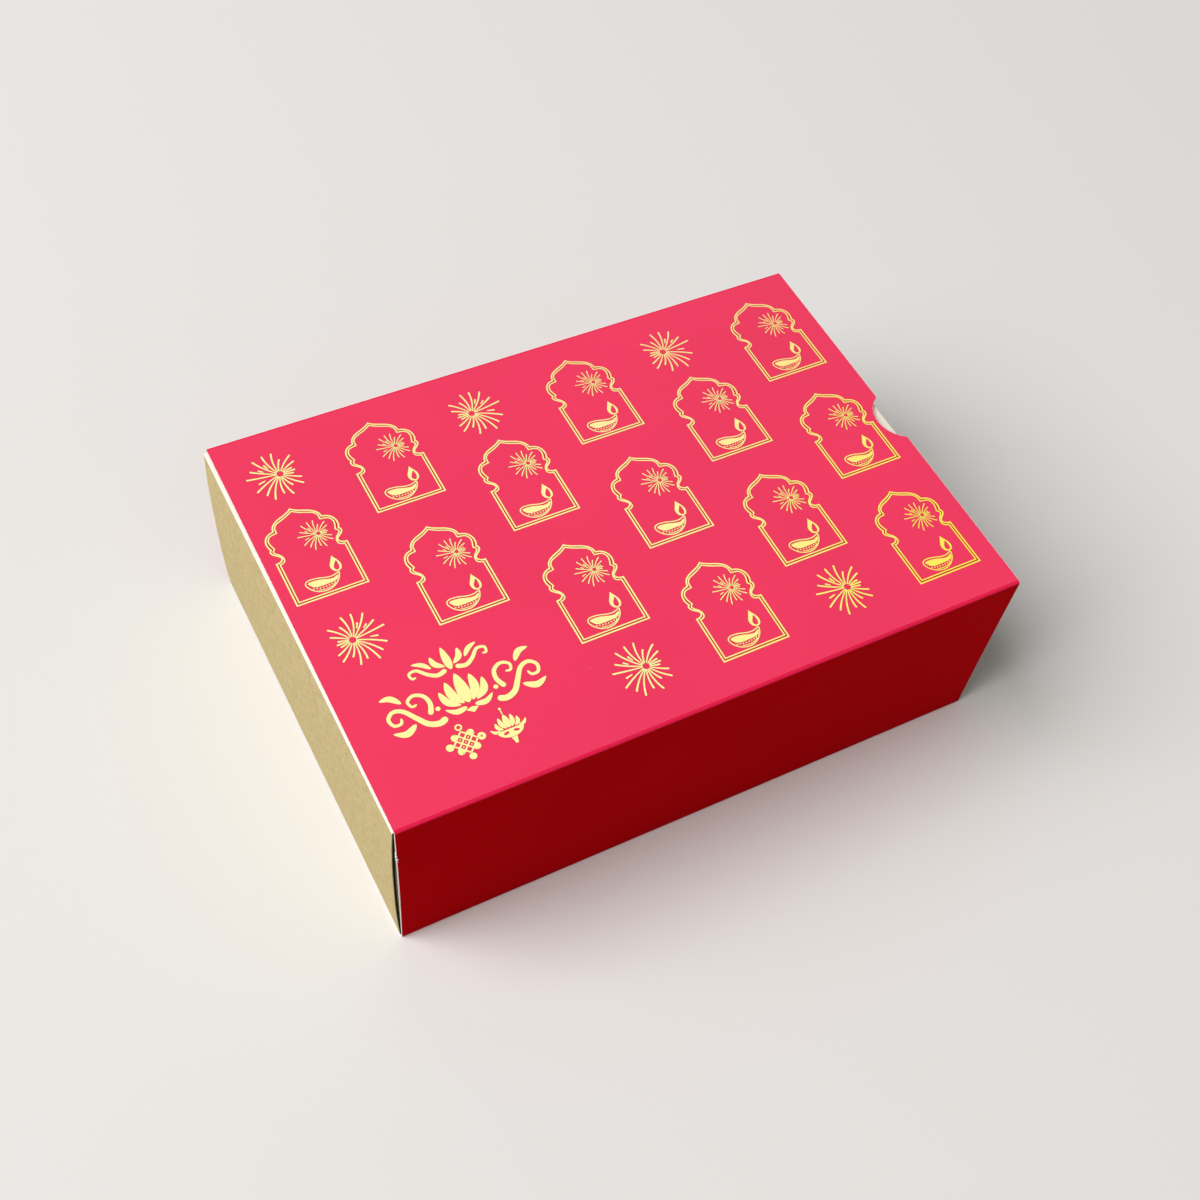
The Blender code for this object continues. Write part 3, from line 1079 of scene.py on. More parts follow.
    def blank(self, rows: int) -> Shape:
        """Cut the flat blank and return it, faces up.

        Args:
            rows: Even rows across the sheet; one is enough for a flat liner.

        Returns:
            The flat blank.
        """
        end, wall, flap = self.end_path(), self.wall_path(), self.flap_path()
        far_u, far_v, tip = end.length(), wall.length(), flap.length()
        bm = bmesh.new()
        bmesh.ops.create_grid(bm, x_segments=1, y_segments=rows, size=0.5,
                              matrix=Matrix.Diagonal((2 * far_u, 2 * far_v, 1.0, 1.0)))
        (_, low), (high, _), _ = end.bends()
        flap_low, flap_high = self.flap_v(self.flap_low), self.flap_v(self.flap_high)
        margins = (self.wear_reach, self.crush_reach)
        across = [*end.cuts(self.BEND_PARTS, margins), *flap.cuts(self.BEND_PARTS, margins),
                  *between(low, high, self.END_PARTS), self.wall_end, self.rim_u(), tip,
                  tip - self.flap_chamfer, far_u - (self.inner_low - self.tongue_low),
                  self.slot_at - self.slot_half_depth, self.slot_at + self.slot_half_depth]
        along = [self.end_half, self.inner_half, flap_low, flap_high,
                 flap_low + self.flap_chamfer, flap_high - self.flap_chamfer,
                 self.tongue_at - self.tongue_half, self.tongue_at + self.tongue_half,
                 self.tongue_at - self.slot_half_width, self.tongue_at + self.slot_half_width]
        if rows == 1:
            along += wall.cuts(self.BEND_PARTS, margins)
        cut_lines(bm, *([s * p for p in places for s in (-1, 1)] for places in (across, along)))
        self.cut_chamfers(bm)
        spare = [f for f in bm.faces if not self.kept(*f.calc_center_median().xy)]
        bmesh.ops.delete(bm, geom=spare, context="FACES")
        face_up(bm)
        return bm

    def cut_chamfers(self, bm: Shape) -> None:
        """Cut the slanting corners of the four flaps into the rectangle.

        Args:
            bm: The rectangle, already cut along its straight lines.
        """
        size = self.flap_chamfer
        start = self.flap_path().length() - size
        ends = ((self.flap_v(self.flap_low), -1), (self.flap_v(self.flap_high), 1))
        for way, side, (at, slope) in product((-1, 1), (-1, 1), ends):
            corner = Vector((way * start, side * at, 0.0))
            middle = corner + Vector((way, -side * slope, 0.0)) * size / 2
            near = [f for f in bm.faces if (f.calc_center_median() - middle).length < size]
            parts = {part for f in near for part in (*f.edges, *f.verts)}
            bmesh.ops.bisect_plane(bm, geom=[*near, *parts], dist=1e-5, plane_co=corner,
                                   plane_no=Vector((way, side * slope, 0.0)))

    def fold_sheet(self, bm: Shape, shift: float) -> None:
        """Fold a thick flat layer into the tray.

        Args:
            bm: The layer, below z = 0.
            shift: Depth of the layer's outer face under the board's.
        """
        wear_and_light = bm.verts.layers.float.new(WEAR_AND_LIGHT)
        for vert in bm.verts:
            vert.co, vert[wear_and_light] = self.fold(vert.co.x, vert.co.y, shift - vert.co.z)
        bmesh.ops.recalc_face_normals(bm, faces=bm.faces[:])

    def build_liner(self, name: str, shift: float, kraft: Material) -> Piece:
        """Make one of the two flat papers of the board.

        Args:
            name: The piece's name.
            shift: Depth of the paper's outer face under the board's.
            kraft: The paper's material.

        Returns:
            The folded paper.
        """
        bm = self.blank(1)
        thicken(bm, self.liner)
        self.fold_sheet(bm, shift)
        # painted shade: the liners' backs, deep inside the board, take the fluting's near-black
        shaded_back = FlutingMedium("liner_back_painted_shade").material()
        cut = FlutingMedium("liner_cut_edge", "#D8C496", "#C4AE7E").material()
        piece = to_object(bm, name, [shaded_back, kraft, cut] if shift else [kraft, shaded_back, cut])
        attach(piece, "tray")
        return piece

    def build_medium(self) -> Piece:
        """Make the wavy paper between the liners and return it."""
        rows = self.WAVE_PARTS * round(2 * self.wall_path().length() / self.flute_pitch)
        bm = self.blank(rows)
        swing = (self.board - 2 * self.liner - self.medium) / 2
        deepen(bm, self.medium)
        for vert in bm.verts:
            phase = 2 * math.pi * (abs(vert.co.y) - self.end_half) / self.flute_pitch
            vert.co.z += (self.medium - self.board) / 2 - swing * math.cos(phase)
        self.fold_sheet(bm, 0.0)
        piece = to_object(bm, "tray_fluting", [FlutingMedium().material()])
        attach(piece, "tray")
        return piece

    def build(self) -> list[Piece]:
        """Make the tray's three papers and put them in the place of its panels."""
        kraft = KraftLiner().material()
        outer = self.build_liner("tray_outer_liner", 0.0, kraft)
        inner = self.build_liner("tray_inner_liner", self.board - self.liner, kraft)
        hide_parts(*frame["record"]["behaviour"]["bodies"]["tray"])
        return [outer, self.build_medium(), inner]


def smooth_through(points: Sequence[Point], steps: int = 5, closed: bool = False) -> list[Point]:
    """Draw an even curve through points.

    Args:
        points: Points that the curve passes.
        steps: Parts between two points.
        closed: Whether the curve comes back to its first point.

    Returns:
        Points along the curve.
    """
    count = len(points)
    path: list[Point] = []
    for k in range(count if closed else count - 1):
        nearby = (j % count if closed else min(max(j, 0), count - 1) for j in range(k - 1, k + 3))
        before, a, b, after = (Vector(points[j]) for j in nearby)
        pieces = interpolate_bezier(a, a + (b - before) / 6, b - (after - a) / 6, b, steps + 1)
        path += [(p[0], p[1]) for p in pieces[:-1]]
    return path if closed else [*path, points[-1]]


def flip(path: Iterable[Point], way: int = -1) -> list[Point]:
    """Turn points over to the left side when way is minus one, and keep them for one."""
    return [(way * x, y) for x, y in path]


def whole(half: list[Point]) -> list[Point]:
    """Close a right half with its mirror image; its last point lies on the axis."""
    return half + flip(reversed(half[:-1]))


def miter(along: Vector, side: Vector) -> float:
    """Say how much further out a corner lies than its sides, kept small where it is sharp."""
    return min(1 / max(along.dot(side), 0.5), 1.6)


def offset(path: Sequence[Point], distance: float) -> list[Point]:
    """Move a closed outline inwards, with its inside on the left.

    Args:
        path: The outline, drawn anticlockwise.
        distance: How far each side moves.

    Returns:
        The moved outline.
    """
    moved = []
    for k, point in enumerate(path):
        before = (Vector(point) - Vector(path[k - 1])).normalized()
        after = (Vector(path[(k + 1) % len(path)]) - Vector(point)).normalized()
        along = (before + after).normalized()
        inwards = Vector((-along.y, along.x)) * distance * miter(along, before)
        moved.append(tuple(Vector(point) + inwards))
    return moved


def widen(bm: Shape, distance: float) -> None:
    """Grow a flat sheet of figures outwards.

    Args:
        bm: The sheet.
        distance: How far each rim moves out.
    """
    outward: dict[bmesh.types.BMVert, list[Vector]] = {}
    for edge in (e for e in bm.edges if e.is_boundary):
        a, b = edge.verts
        along = (b.co - a.co).normalized()
        out = Vector((along.y, -along.x, 0.0))
        if out.dot(edge.link_faces[0].calc_center_median() - a.co) > 0:
            out = -out
        for vert in edge.verts:
            outward.setdefault(vert, []).append(out)
    for vert, outs in outward.items():
        mean = sum(outs, Vector((0.0, 0.0, 0.0))).normalized()
        vert.co += mean * distance / max(mean.dot(outs[0]), 0.6)


@dataclass
class FoilFigure:
    """A flat figure of foil, drawn in millimetres and stamped wherever it is wanted."""

    bm: Shape = field(default_factory=bmesh.new)

    CAPS = (0.0, 0.12, 0.4, 1.0)     # stations of a round end, in half widths from its tip
    DOT_SIDES = 14

    def stroke(self, path: Sequence[Point], width: Width, closed: bool = False) -> None:
        """Draw a line as a ribbon, its cross edge extruded from point to point.

        Args:
            path: Points along the line's middle.
            width: The width, or a rule that gives it for 0 to 1 along the line.
            closed: Whether the last point joins the first.
        """
        points = [Vector(p) for p in path]
        count = len(points)
        edge = None
        for k, point in enumerate(points):
            steps = []
            if k or closed:
                steps.append((point - points[k - 1]).normalized())
            if k < count - 1 or closed:
                steps.append((points[(k + 1) % count] - point).normalized())
            along = sum(steps, Vector((0.0, 0.0))).normalized()
            here = width(k / (count - 1)) if callable(width) else width
            reach = Vector((-along.y, along.x)) * (here / 2 * miter(along, steps[0]))
            sides = [(point + reach).to_3d(), (point - reach).to_3d()]
            if edge is None:
                ends = first = [self.bm.verts.new(side) for side in sides]
                edge = self.bm.edges.new(first)
                continue
            grown = bmesh.ops.extrude_edge_only(self.bm, edges=[edge])["geom"]
            fresh = [g for g in grown if isinstance(g, bmesh.types.BMVert)]
            ends = [min(fresh, key=lambda v, o=old: (v.co - o.co).length) for old in ends]
            for vert, side in zip(ends, sides):
                vert.co = side
            edge = self.bm.edges.get(ends)
        if closed:
            bmesh.ops.bridge_loops(self.bm, edges=[edge, self.bm.edges.get(first)])

    def round_stroke(self, path: Sequence[Point], width: float, tip: float = 1.0) -> None:
        """Draw a line with round ends.

        Args:
            path: Points along the line's middle.
            width: The line's width where it starts.
            tip: Its width at the end, as a share of that.
        """
        points = [Vector(p) for p in path]
        lengths = [0.0]
        for a, b in zip(points, points[1:]):
            lengths.append(lengths[-1] + (b - a).length)
        total, half = lengths[-1], width / 2
        clear = half * 1.05          # points nearer an end than this give way to its stations
        places = [cap * half for cap in self.CAPS]
        places += [place for place in lengths if clear < place < total - clear]
        places += [total - cap * half for cap in reversed(self.CAPS)]
        line = []
        for place in places:
            k = max(j for j in range(len(lengths) - 1) if lengths[j] <= place + 1e-9)
            t = (place - lengths[k]) / (lengths[k + 1] - lengths[k])
            line.append(tuple(points[k].lerp(points[k + 1], t)))

        def rule(share: float) -> float:
            """Return the width at a share of the stations."""
            place = places[round(share * (len(places) - 1))]
            rim = min(place, total - place, half) / half
            body = width * (1 + (tip - 1) * place / total)
            return body * max(math.sqrt(1 - (1 - rim) ** 2), 0.05)

        self.stroke(line, rule)

    def leaf(self, path: Sequence[Point], width: float, belly: float = 0.45) -> None:
        """Draw a leaf, pointed at both ends.

        Args:
            path: Points along the leaf's rib.
            width: Its greatest width.
            belly: Where along the rib it is widest.
        """
        power = math.log(0.5) / math.log(belly)

        def rule(share: float) -> float:
            """Return the leaf's width at a share of its rib."""
            return width * max(math.sin(math.pi * share ** power), 0.02) ** 0.85

        self.stroke(smooth_through(path, 6), rule)

    def fill(self, *loops: Iterable[Point]) -> None:
        """Fill an outline, less the holes in it.

        Args:
            *loops: The outline and then the holes.
        """
        edges = [edge for loop in loops for edge in outline(self.bm, loop)[1]]
        bmesh.ops.triangle_fill(self.bm, edges=edges, use_beauty=True,
                                normal=Vector((0.0, 0.0, 1.0)))

    def dot(self, x: float, y: float, radius: float) -> None:
        """Draw a round dot at a place of the figure."""
        bmesh.ops.create_circle(self.bm, cap_ends=True, radius=radius, segments=self.DOT_SIDES,
                                matrix=Matrix.Translation((x, y, 0.0)))

    def stamp(self, sheet: Shape, x: float, y: float, scale: float = 1.0,
              mirror: bool = False) -> None:
        """Copy the figure to a sheet of foil.

        Args:
            sheet: The sheet that gathers the figures.
            x: Place of the figure's origin along the top.
            y: Its place across the top.
            scale: The copy's size.
            mirror: Whether left and right change places.
        """
        copy = bpy.data.meshes.new("figure")
        self.bm.to_mesh(copy)
        before = len(sheet.verts)
        sheet.from_mesh(copy)
        bpy.data.meshes.remove(copy)
        sheet.verts.ensure_lookup_table()
        verts = sheet.verts[before:]
        bmesh.ops.scale(sheet, vec=(-scale if mirror else scale, scale, 1.0), verts=verts)
        bmesh.ops.translate(sheet, vec=(x, y, 0.0), verts=verts)


class Hand(Enum):
    """Which way round a burst is stamped."""

    PLAIN = False
    MIRRORED = True


@dataclass
class FoilStamping:
    """The gold figures on the sleeve's top: arches, lamps, bursts and ornaments.

    Each figure's points are measured from the figure's own origin.
    """

    sleeve: Sleeve
    foil: float = 0.03
    pressed: float = 0.014
    contour: float = 0.008           # painted shade: a darker rim of print round each figure, where it is pressed down
    contour_width: float = 0.09
    lift: float = 0.005
    print_size: float = 0.9966       # the print came out a little small on the cut blank,
    print_turn: float = math.radians(0.2043)  # a little askew
    print_shift: Point = (-0.1165, 0.2597)    # and a little off its middle
    first_axis: float = -109.02      # axis of the first column of arches
    column: float = 42.82
    first_base: float = 7.52
    row: float = 27.96
    lamp_aside: float = 0.4          # how far right of the arch's axis the lamp stands
    ray_width: float = 0.74
    ray_root: float = 0.6            # a ray's width at its inner end, as a share of that
    ray_start: float = 1.25          # how far out a ray begins, but for the late ones
    ray_arch: float = 0.075          # how far a ray arches, as a share of its length
    ray_parts: int = 6
    small_burst: float = 0.61
    small_burst_at: Point = (5.4, 27.9)

    ARCHES = ((1, -1), (3, -1), (5, -1), (0, 0), (2, 0), (4, 0), (1, 1), (3, 1), (5, 1),
              (2, 2), (4, 2), (3, 3), (5, 3))
    BURSTS = ((-106.0, 67.6, Hand.PLAIN), (-110.5, -13.6, Hand.MIRRORED),
              (-20.7, -66.1, Hand.PLAIN), (64.9, -65.9, Hand.PLAIN),
              (-27.1, 67.1, Hand.MIRRORED), (58.8, 67.2, Hand.MIRRORED))
    RAYS = ((88, 10.8), (72, 7.3), (48, 10.0), (30, 8.1), (14, 5.4), (0, 6.0), (-15, 5.2),
            (-31, 8.3), (-48, 10.0), (-69, 7.4), (-83, 11.1), (-101, 9.7), (-118, 12.6),
            (-135, 11.6), (-154, 12.3), (-169, 9.3), (172, 12.9), (153, 11.4), (147, 8.5),
            (129, 12.2), (124, 7.7), (108, 11.3))
    LATE_RAYS = {-169: 6.2, 147: 6.2, 124: 5.0}
    KNOT_AT = (-91.8, -68.05)
    LOTUS_AT = (-75.8, -69.4)
    SCROLLWORK_AT = (-84.0, -50.0)

    def places(self) -> list[Point]:
        """Return where the foot of each arch's axis stands."""
        return [(self.first_axis + self.column * i, self.first_base - self.row * j)
                for i, j in self.ARCHES]

    def press(self, sheet: Shape, name: str, finish: Material, thickness: float) -> Piece:
        """Give a flat sheet of figures its thickness and lay it on the top.

        Args:
            sheet: The flat figures, in the top's own place.
            name: The piece's name.
            finish: Its material.
            thickness: How thick it is.

        Returns:
            The piece.
        """
        face_up(sheet)
        size = self.print_size
        bmesh.ops.scale(sheet, vec=(size, size, 1.0), verts=sheet.verts[:])
        bmesh.ops.rotate(sheet, cent=(0.0, 0.0, 0.0), verts=sheet.verts[:],
                         matrix=Matrix.Rotation(self.print_turn, 3, "Z"))
        bmesh.ops.translate(sheet, vec=(*self.print_shift, 0.0), verts=sheet.verts[:])
        deepen(sheet, thickness)
        lift = self.sleeve.height + self.lift + thickness
        for vert in sheet.verts:
            vert.co.z += lift + self.sleeve.swell(vert.co.x, vert.co.y)
        bmesh.ops.recalc_face_normals(sheet, faces=sheet.faces[:])
        piece = to_object(sheet, name, [finish])
        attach(piece, "sleeve")
        return piece

    def arch_half(self) -> list[Point]:
        """Return the right half of the arch's outer boundary, foot to apex."""
        path: list[Point] = [(13.9, 0.0), (13.9, 20.9), (13.0, 20.9)]
        for bend in (((11.9, 21.1), (11.1, 21.7), (11.1, 22.5)),
                     ((11.1, 23.5), (13.9, 24.4), (14.0, 26.2)),
                     ((14.05, 26.8), (13.8, 27.2), (13.45, 27.5)),
                     ((14.0, 28.6), (14.1, 29.6), (14.05, 30.6)),
                     ((13.9, 33.0), (12.4, 34.9), (9.7, 35.3)),
                     ((9.5, 37.6), (8.1, 38.9), (5.9, 40.0)),
                     ((3.6, 41.0), (1.5, 41.6), (0.0, 43.2))):
            curve = interpolate_bezier(Vector(path[-1]), *(Vector(p) for p in bend), 7)
            path += [(p[0], p[1]) for p in curve[1:]]
        return path

    def arch(self) -> FoilFigure:
        """Draw the arch: a broad outer line and a finer one inside it."""
        figure = FoilFigure()
        figure.stroke(offset(whole(self.arch_half()), 0.3), 0.6, closed=True)
        inner: list[Point] = [(12.6, 1.35), (12.6, 19.95)]
        for lobe in (((12.45, 20.0), (11.6, 20.1), (10.5, 20.9), (10.4, 22.5), (11.1, 23.9),
                      (12.0, 24.8), (12.75, 25.9), (12.5, 26.8), (11.9, 27.4)),
                     ((12.2, 28.3), (12.75, 30.5), (12.4, 32.3), (11.2, 33.6), (8.6, 34.1)),
                     ((8.5, 36.3), (7.4, 37.9), (5.4, 38.9), (3.0, 39.9), (1.2, 40.9),
                      (0.0, 41.7))):
            inner += smooth_through(lobe, 3)
        figure.stroke(offset(whole(inner), 0.1), 0.52, closed=True)
        return figure

    def valley(self) -> FoilFigure:
        """Draw the line of painted shade between an arch's two lines, where the print is pressed
        down.
        """
        figure = FoilFigure()
        figure.stroke(offset(whole(self.arch_half()), 0.87), 0.56, closed=True)
        return figure

    def lamp(self) -> FoilFigure:
        """Draw the oil lamp: its outline, the oil's face, a row of dots and a rim."""
        figure = FoilFigure()
        bowl = ((5.1, 8.6), (4.9, 7.6), (4.3, 6.2), (3.0, 4.6), (1.2, 3.3), (-0.8, 2.6),
                (-2.8, 2.6), (-4.8, 3.2), (-6.6, 4.6), (-7.7, 6.3), (-8.0, 7.6), (-7.5, 8.6),
                (-6.4, 9.1), (-5.0, 9.15), (-3.0, 8.9), (-1.0, 8.3), (0.8, 7.9), (2.6, 7.9),
                (4.2, 8.4))
        figure.stroke(smooth_through(bowl, 3, True), 0.46, closed=True)
        figure.fill(((-7.2, 7.7), (-6.6, 8.2), (-5.0, 8.3), (-3.0, 8.1), (-0.7, 7.4), (1.0, 6.9),
                     (2.5, 6.8), (4.4, 7.7), (4.3, 6.9), (3.6, 5.9), (2.0, 5.3), (0.0, 5.2),
                     (-2.5, 5.1), (-4.6, 5.2), (-6.0, 5.9)))
        dots = 9
        for t in (k / (dots - 1) for k in range(dots)):
            figure.dot(9.2 * t - 5.9, 4.9 - 0.75 * math.sin(math.pi * t) + 0.35 * t, 0.3)
        rim = ((-4.4, 3.7), (-2.8, 3.35), (-1.0, 3.3), (0.8, 3.7), (2.3, 4.5))
        figure.stroke(smooth_through(rim, 3), 0.34)
        return figure

    def flame(self) -> FoilFigure:
        """Draw the lamp's flame with its dark heart."""
        figure = FoilFigure()
        outer = ((5.9, 15.3), (6.6, 14.0), (7.1, 12.6), (7.2, 11.3), (6.6, 9.7), (5.2, 9.0),
                 (4.4, 9.2), (3.5, 9.9), (3.05, 11.3), (3.2, 12.6), (3.9, 13.9), (4.7, 15.3))
        heart = ((6.0, 13.9), (6.3, 12.8), (6.3, 11.2), (5.9, 10.0), (5.2, 9.6), (4.5, 10.0),
                 (4.2, 10.9), (4.5, 11.9), (5.2, 12.9))
        tip = (5.35, 16.5)
        figure.fill([*smooth_through(outer, 3), tip], smooth_through(heart, 2, True))
        return figure

    def burst(self) -> FoilFigure:
        """Draw a burst of uneven rays, all blown a little to the right."""
        figure = FoilFigure()
        for degrees, end in self.RAYS:
            angle = math.radians(degrees)
            start = self.LATE_RAYS.get(degrees, self.ray_start)
            out = Vector((math.cos(angle), math.sin(angle)))
            across = Vector((-out.y, out.x))
            arch = self.ray_arch * end * math.sin(angle)
            path = []
            for k in range(self.ray_parts + 1):
                t = 1 - (1 - start / end) * k / self.ray_parts
                path.append(tuple(out * end * t + across * arch * 4 * (t - t * t)))
            figure.round_stroke(path, self.ray_width, self.ray_root)
        return figure

    def knot(self) -> FoilFigure:
        """Draw the knot: crossed bands with a bulb at each corner."""
        figure = FoilFigure()
        for turn in (-1, 1):
            for shift in (-3.18, -1.06, 1.06, 3.18):
                half = 5.6 - abs(shift) * 0.75
                middle = Vector((shift, -shift * turn)) / math.sqrt(2)
                reach = Vector((1.0, turn)) / math.sqrt(2) * half
                figure.round_stroke([tuple(middle - reach), tuple(middle + reach)], 0.6)
        bulbs = ((0.0, -6.0, 1.35), (-5.9, 0.0, 1.45), (3.0, 3.0, 1.25), (-3.0, 3.0, 1.25),
                 (3.0, -3.0, 1.25), (-3.0, -3.0, 1.25))
        for x, y, radius in bulbs:
            figure.dot(x, y, radius)
        for x, y, radius, width in ((0.0, 6.3, 1.05, 0.6), (5.9, 0.0, 0.95, 1.1)):
            turns = (math.pi * k / 8 for k in range(16))
            ring = [(x + radius * math.cos(a), y + radius * math.sin(a)) for a in turns]
            figure.stroke(ring, width, closed=True)
        figure.round_stroke([(0.0, 5.4), (0.0, 4.2)], 0.5)
        for x, y in ((0.0, 0.0), (1.5, 1.5), (-1.5, -1.5), (1.5, -1.5), (-1.5, 1.5)):
            figure.dot(x, y, 0.28)
        return figure

    def lotus(self) -> FoilFigure:
        """Draw the standing lamp with its lotus, leaves, stem and pendant."""
        figure = FoilFigure()
        turns = [math.pi * k / 16 for k in range(17)]
        bowl = [(5.0 * math.cos(a), -3.4 * math.sin(a)) for a in turns]
        turns = [math.pi * k / 5 for k in range(10)]
        holes = [[(way * 1.9 + 1.05 * math.cos(a) - way * 0.4 * math.sin(a),
                   -1.3 + 0.6 * math.sin(a)) for a in turns] for way in (-1, 1)]
        figure.fill(bowl, *holes)
        figure.leaf(((0.0, 0.5), (0.0, 3.0), (0.0, 6.1)), 2.6, 0.42)
        for way in (-1, 1):
            for rib, width in ((((1.0, 0.5), (2.1, 2.6), (2.3, 5.4)), 1.7),
                               (((2.2, 0.4), (3.8, 1.7), (4.0, 3.8)), 1.5),
                               (((3.4, 0.3), (5.3, 0.3), (6.7, 1.8)), 1.2)):
                figure.leaf(flip(rib, way), width, 0.5)
        figure.round_stroke([(0.0, 6.2), (0.0, 8.1)], 0.45)
        figure.dot(0.0, 8.6, 0.5)
        figure.fill(((-1.2, -3.5), (1.2, -3.5), (0.75, -4.8), (0.5, -6.1), (-0.5, -6.1),
                     (-0.75, -4.8)))
        return figure

    def scrollwork(self) -> FoilFigure:
        """Draw the large ornament: a lotus between scrolls, with a sprig over it."""
        figure = FoilFigure()
        leaves = ((((1.6, -3.6), (4.3, 1.0), (4.6, 6.9)), 3.4, 0.5),
                  (((3.0, -3.9), (7.0, -0.9), (8.2, 3.9)), 2.8, 0.5),
                  (((1.5, -5.4), (5.6, -5.9), (9.0, -3.6)), 2.2, 0.4),
                  (((20.2, -4.6), (24.6, -7.0), (29.0, -5.2)), 2.6, 0.45),
                  (((21.6, 5.0), (24.6, 8.4), (28.4, 8.8)), 2.4, 0.45),
                  (((1.6, 12.9), (4.6, 15.2), (5.2, 18.6)), 2.3, 0.5),
                  (((6.4, 14.0), (9.0, 16.8), (12.4, 18.2)), 1.9, 0.45))
        scrolls = ((((9.6, -6.4), (12.6, -7.6), (16.4, -6.2), (19.4, -2.2), (22.4, 1.9),
                     (25.8, 3.0), (28.2, 0.8), (27.4, -2.2), (24.8, -2.4), (24.0, -0.4)),
                    2.5, 0.4),
                   (((14.2, -3.2), (12.6, 0.8), (13.4, 4.6), (16.6, 6.4), (19.4, 4.9),
                     (18.8, 2.4), (16.8, 2.6)), 2.0, 0.45),
                   (((1.8, 11.6), (5.4, 10.6), (8.6, 12.4), (11.6, 15.4), (14.4, 15.0),
                     (14.2, 12.8), (12.6, 12.8)), 1.9, 0.45))
        for way in (-1, 1):
            for rib, width, belly in leaves:
                figure.leaf(flip(rib, way), width, belly)
            for curl, width, tip in scrolls:
                figure.round_stroke(flip(smooth_through(curl, 5), way), width, tip)
            figure.dot(way * 11.0, -2.0, 0.9)
        figure.leaf(((0.0, -4.0), (0.0, 2.0), (0.0, 9.0)), 4.6, 0.45)
        figure.leaf(((0.0, 11.0), (0.0, 15.4), (0.0, 21.0)), 3.0, 0.45)
        figure.fill(((-2.4, -6.6), (0.0, -8.4), (2.4, -6.6), (0.0, -5.9)))
        return figure

    def build(self) -> list[Piece]:
        """Stamp every figure and return the pieces."""
        valleys = bmesh.new()
        sheets = {name: bmesh.new()
                  for name in ("arches", "lamps", "flames", "bursts", "ornaments")}
        arch, valley, lamp = self.arch(), self.valley(), self.lamp()
        flame, burst = self.flame(), self.burst()
        for x, y in self.places():
            arch.stamp(sheets["arches"], x, y)
            valley.stamp(valleys, x, y)
            lamp.stamp(sheets["lamps"], x + self.lamp_aside, y)
            flame.stamp(sheets["flames"], x + self.lamp_aside, y)
            burst.stamp(sheets["bursts"], x + self.small_burst_at[0],
                        y + self.small_burst_at[1], self.small_burst)
        for x, y, hand in self.BURSTS:
            burst.stamp(sheets["bursts"], x, y, mirror=hand.value)
        self.knot().stamp(sheets["ornaments"], *self.KNOT_AT)
        self.lotus().stamp(sheets["ornaments"], *self.LOTUS_AT)
        self.scrollwork().stamp(sheets["ornaments"], *self.SCROLLWORK_AT)
        # the pressed lines and the rims round the figures are painted shade, a darker red laid on
        # the print
        pieces = [self.press(valleys, "print_pressed_lines_shade", PressedPrint().material(),
                             self.pressed)]
        gold = GoldFoil().material()
        pressed = PressedPrint("pressed_contour_shade", "#C9213F").material()
        for name, sheet in sheets.items():
            under = sheet.copy()
            widen(under, self.contour_width)
            pieces += [self.press(sheet, f"foil_{name}", gold, self.foil),
                       self.press(under, f"painted_shade_round_{name}", pressed, self.contour)]
        return pieces


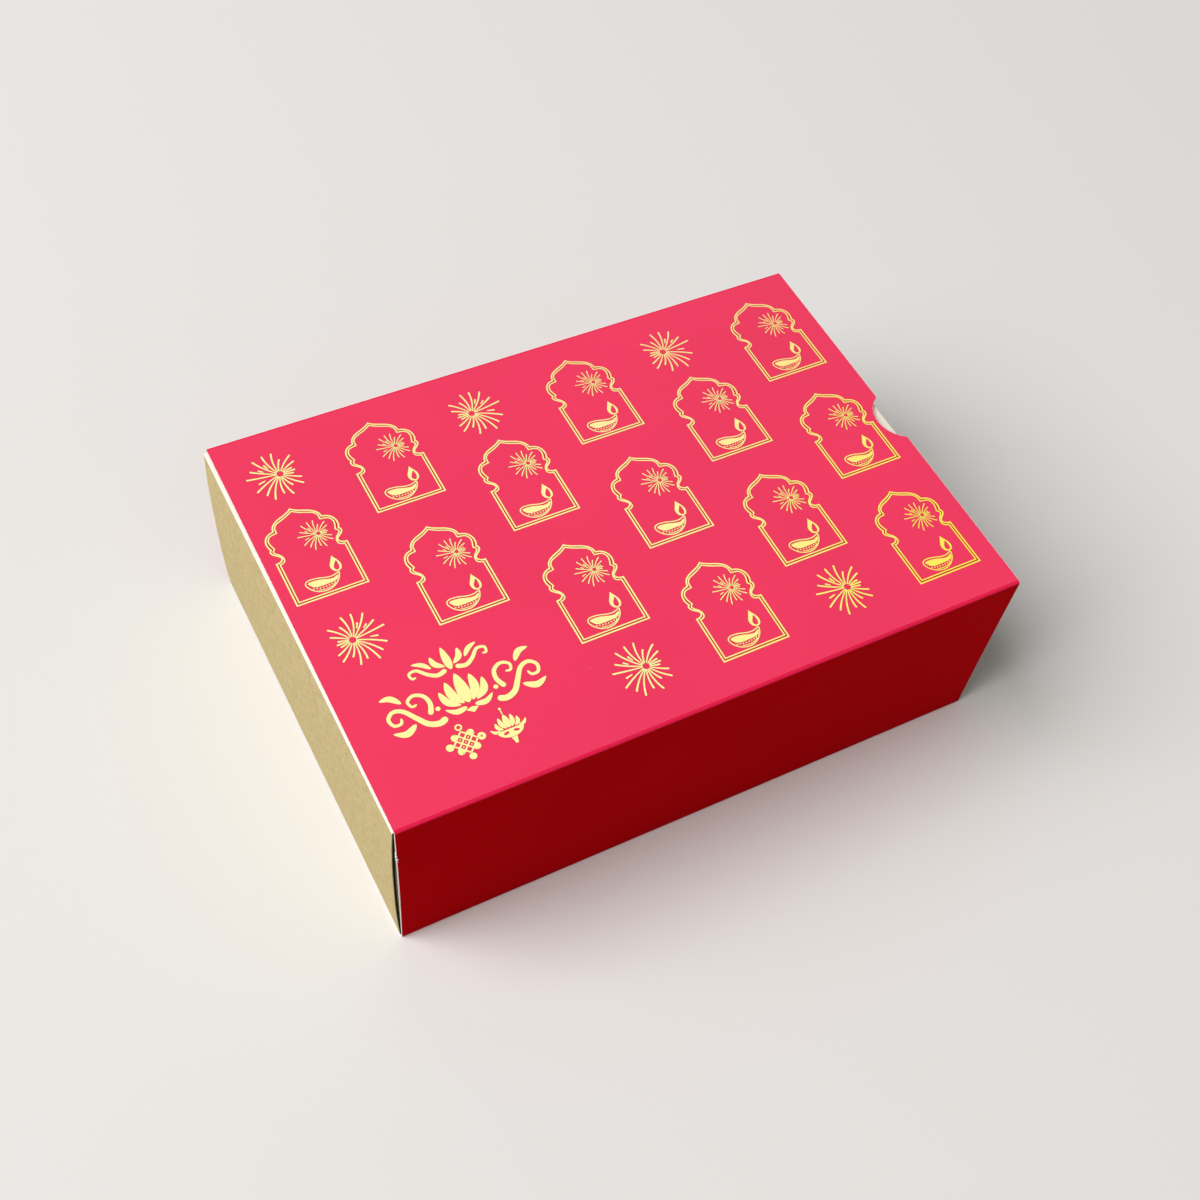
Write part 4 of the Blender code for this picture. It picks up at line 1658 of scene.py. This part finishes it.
@dataclass
class Studio:
    """A pale floor, one large soft light, a weak fill and the camera. In metres."""

    eye: Place = (-0.203613, -0.307562, 0.528077)
    turn: tuple[float, float, float, float] = (0.937314, 0.254587, -0.101605, -0.215183)
    lens: float = 45.522
    film: float = 36.0
    shift: float = 0.105
    clip: Point = (0.01, 20.0)
    floor_half: float = 4.0
    key_from: Place = (-3.9, 0.75, 4.4)
    key_aim: Place = (0.0, 0.0, 0.04)
    key_side: float = 5.0
    key_power: float = 430.0
    ambient: float = 0.19

    def set_up(self, data: bpy.types.ID, place: Place, turn: Quaternion) -> Piece:
        """Put the camera or the light in the scene.

        Args:
            data: The camera's or the light's own data, by whose name it goes.
            place: Where it stands.
            turn: Which way it looks.

        Returns:
            The new object.
        """
        made = new_object(data.name, data)
        made.rotation_mode = "QUATERNION"
        made.location, made.rotation_quaternion = place, turn
        return made

    def build_camera(self) -> None:
        """Place the camera at the photograph's viewing angle."""
        data = bpy.data.cameras.new("camera")
        data.lens, data.sensor_width, data.shift_y = self.lens, self.film, self.shift
        data.clip_start, data.clip_end = self.clip
        bpy.context.scene.camera = self.set_up(data, self.eye, Quaternion(self.turn))

    def build_light(self) -> None:
        """Hang the soft light and aim it at the box."""
        data = bpy.data.lights.new("key_softbox", "AREA")
        data.shape, data.size, data.energy = "SQUARE", self.key_side, self.key_power
        aim = Vector(self.key_aim) - Vector(self.key_from)
        self.set_up(data, self.key_from, aim.to_track_quat("-Z", "Y"))

    def build_floor(self) -> None:
        """Lay the floor."""
        bm = bmesh.new()
        bmesh.ops.create_grid(bm, x_segments=1, y_segments=1, size=self.floor_half / MM)
        floor = to_object(bm, "floor", [StudioPaper().material()])

    def build_world(self) -> None:
        """Light the surroundings: pale where they are seen, dim as a fill."""
        world = bpy.data.worlds.new("surround")
        bpy.context.scene.world = world
        world.use_nodes = True
        tree = world.node_tree
        tree.nodes.clear()
        shown = seen_by(tree, "Is Camera Ray", "Is Glossy Ray", "Is Transmission Ray")
        sky = add_node(tree, "ShaderNodeBackground", {
            "Color": SURROUND, "Strength": remap(tree, shown, 0.0, 1.0, self.ambient, 1.0)})
        add_node(tree, "ShaderNodeOutputWorld", {"Surface": sky.outputs[0]})

    def build(self) -> None:
        """Set up the whole studio."""
        self.build_camera()
        self.build_light()
        self.build_floor()
        self.build_world()
        bpy.context.scene.view_settings.view_transform = "Standard"


def report(pieces: Iterable[Piece]) -> None:
    """Log the name and size of each finished piece."""
    for piece in pieces:
        log.info("%s: %d faces", piece.name, len(piece.data.polygons))


def main() -> None:
    """Build the box and its studio, piece by piece."""
    sleeve = Sleeve()
    report([sleeve.build(), sleeve.fray(), sleeve.dress_glue()])
    report(FoilStamping(sleeve).build())
    report(Tray().build())
    Studio().build()


if __name__ == "__main__":
    logging.basicConfig(level=logging.INFO, format="%(message)s")
    main()
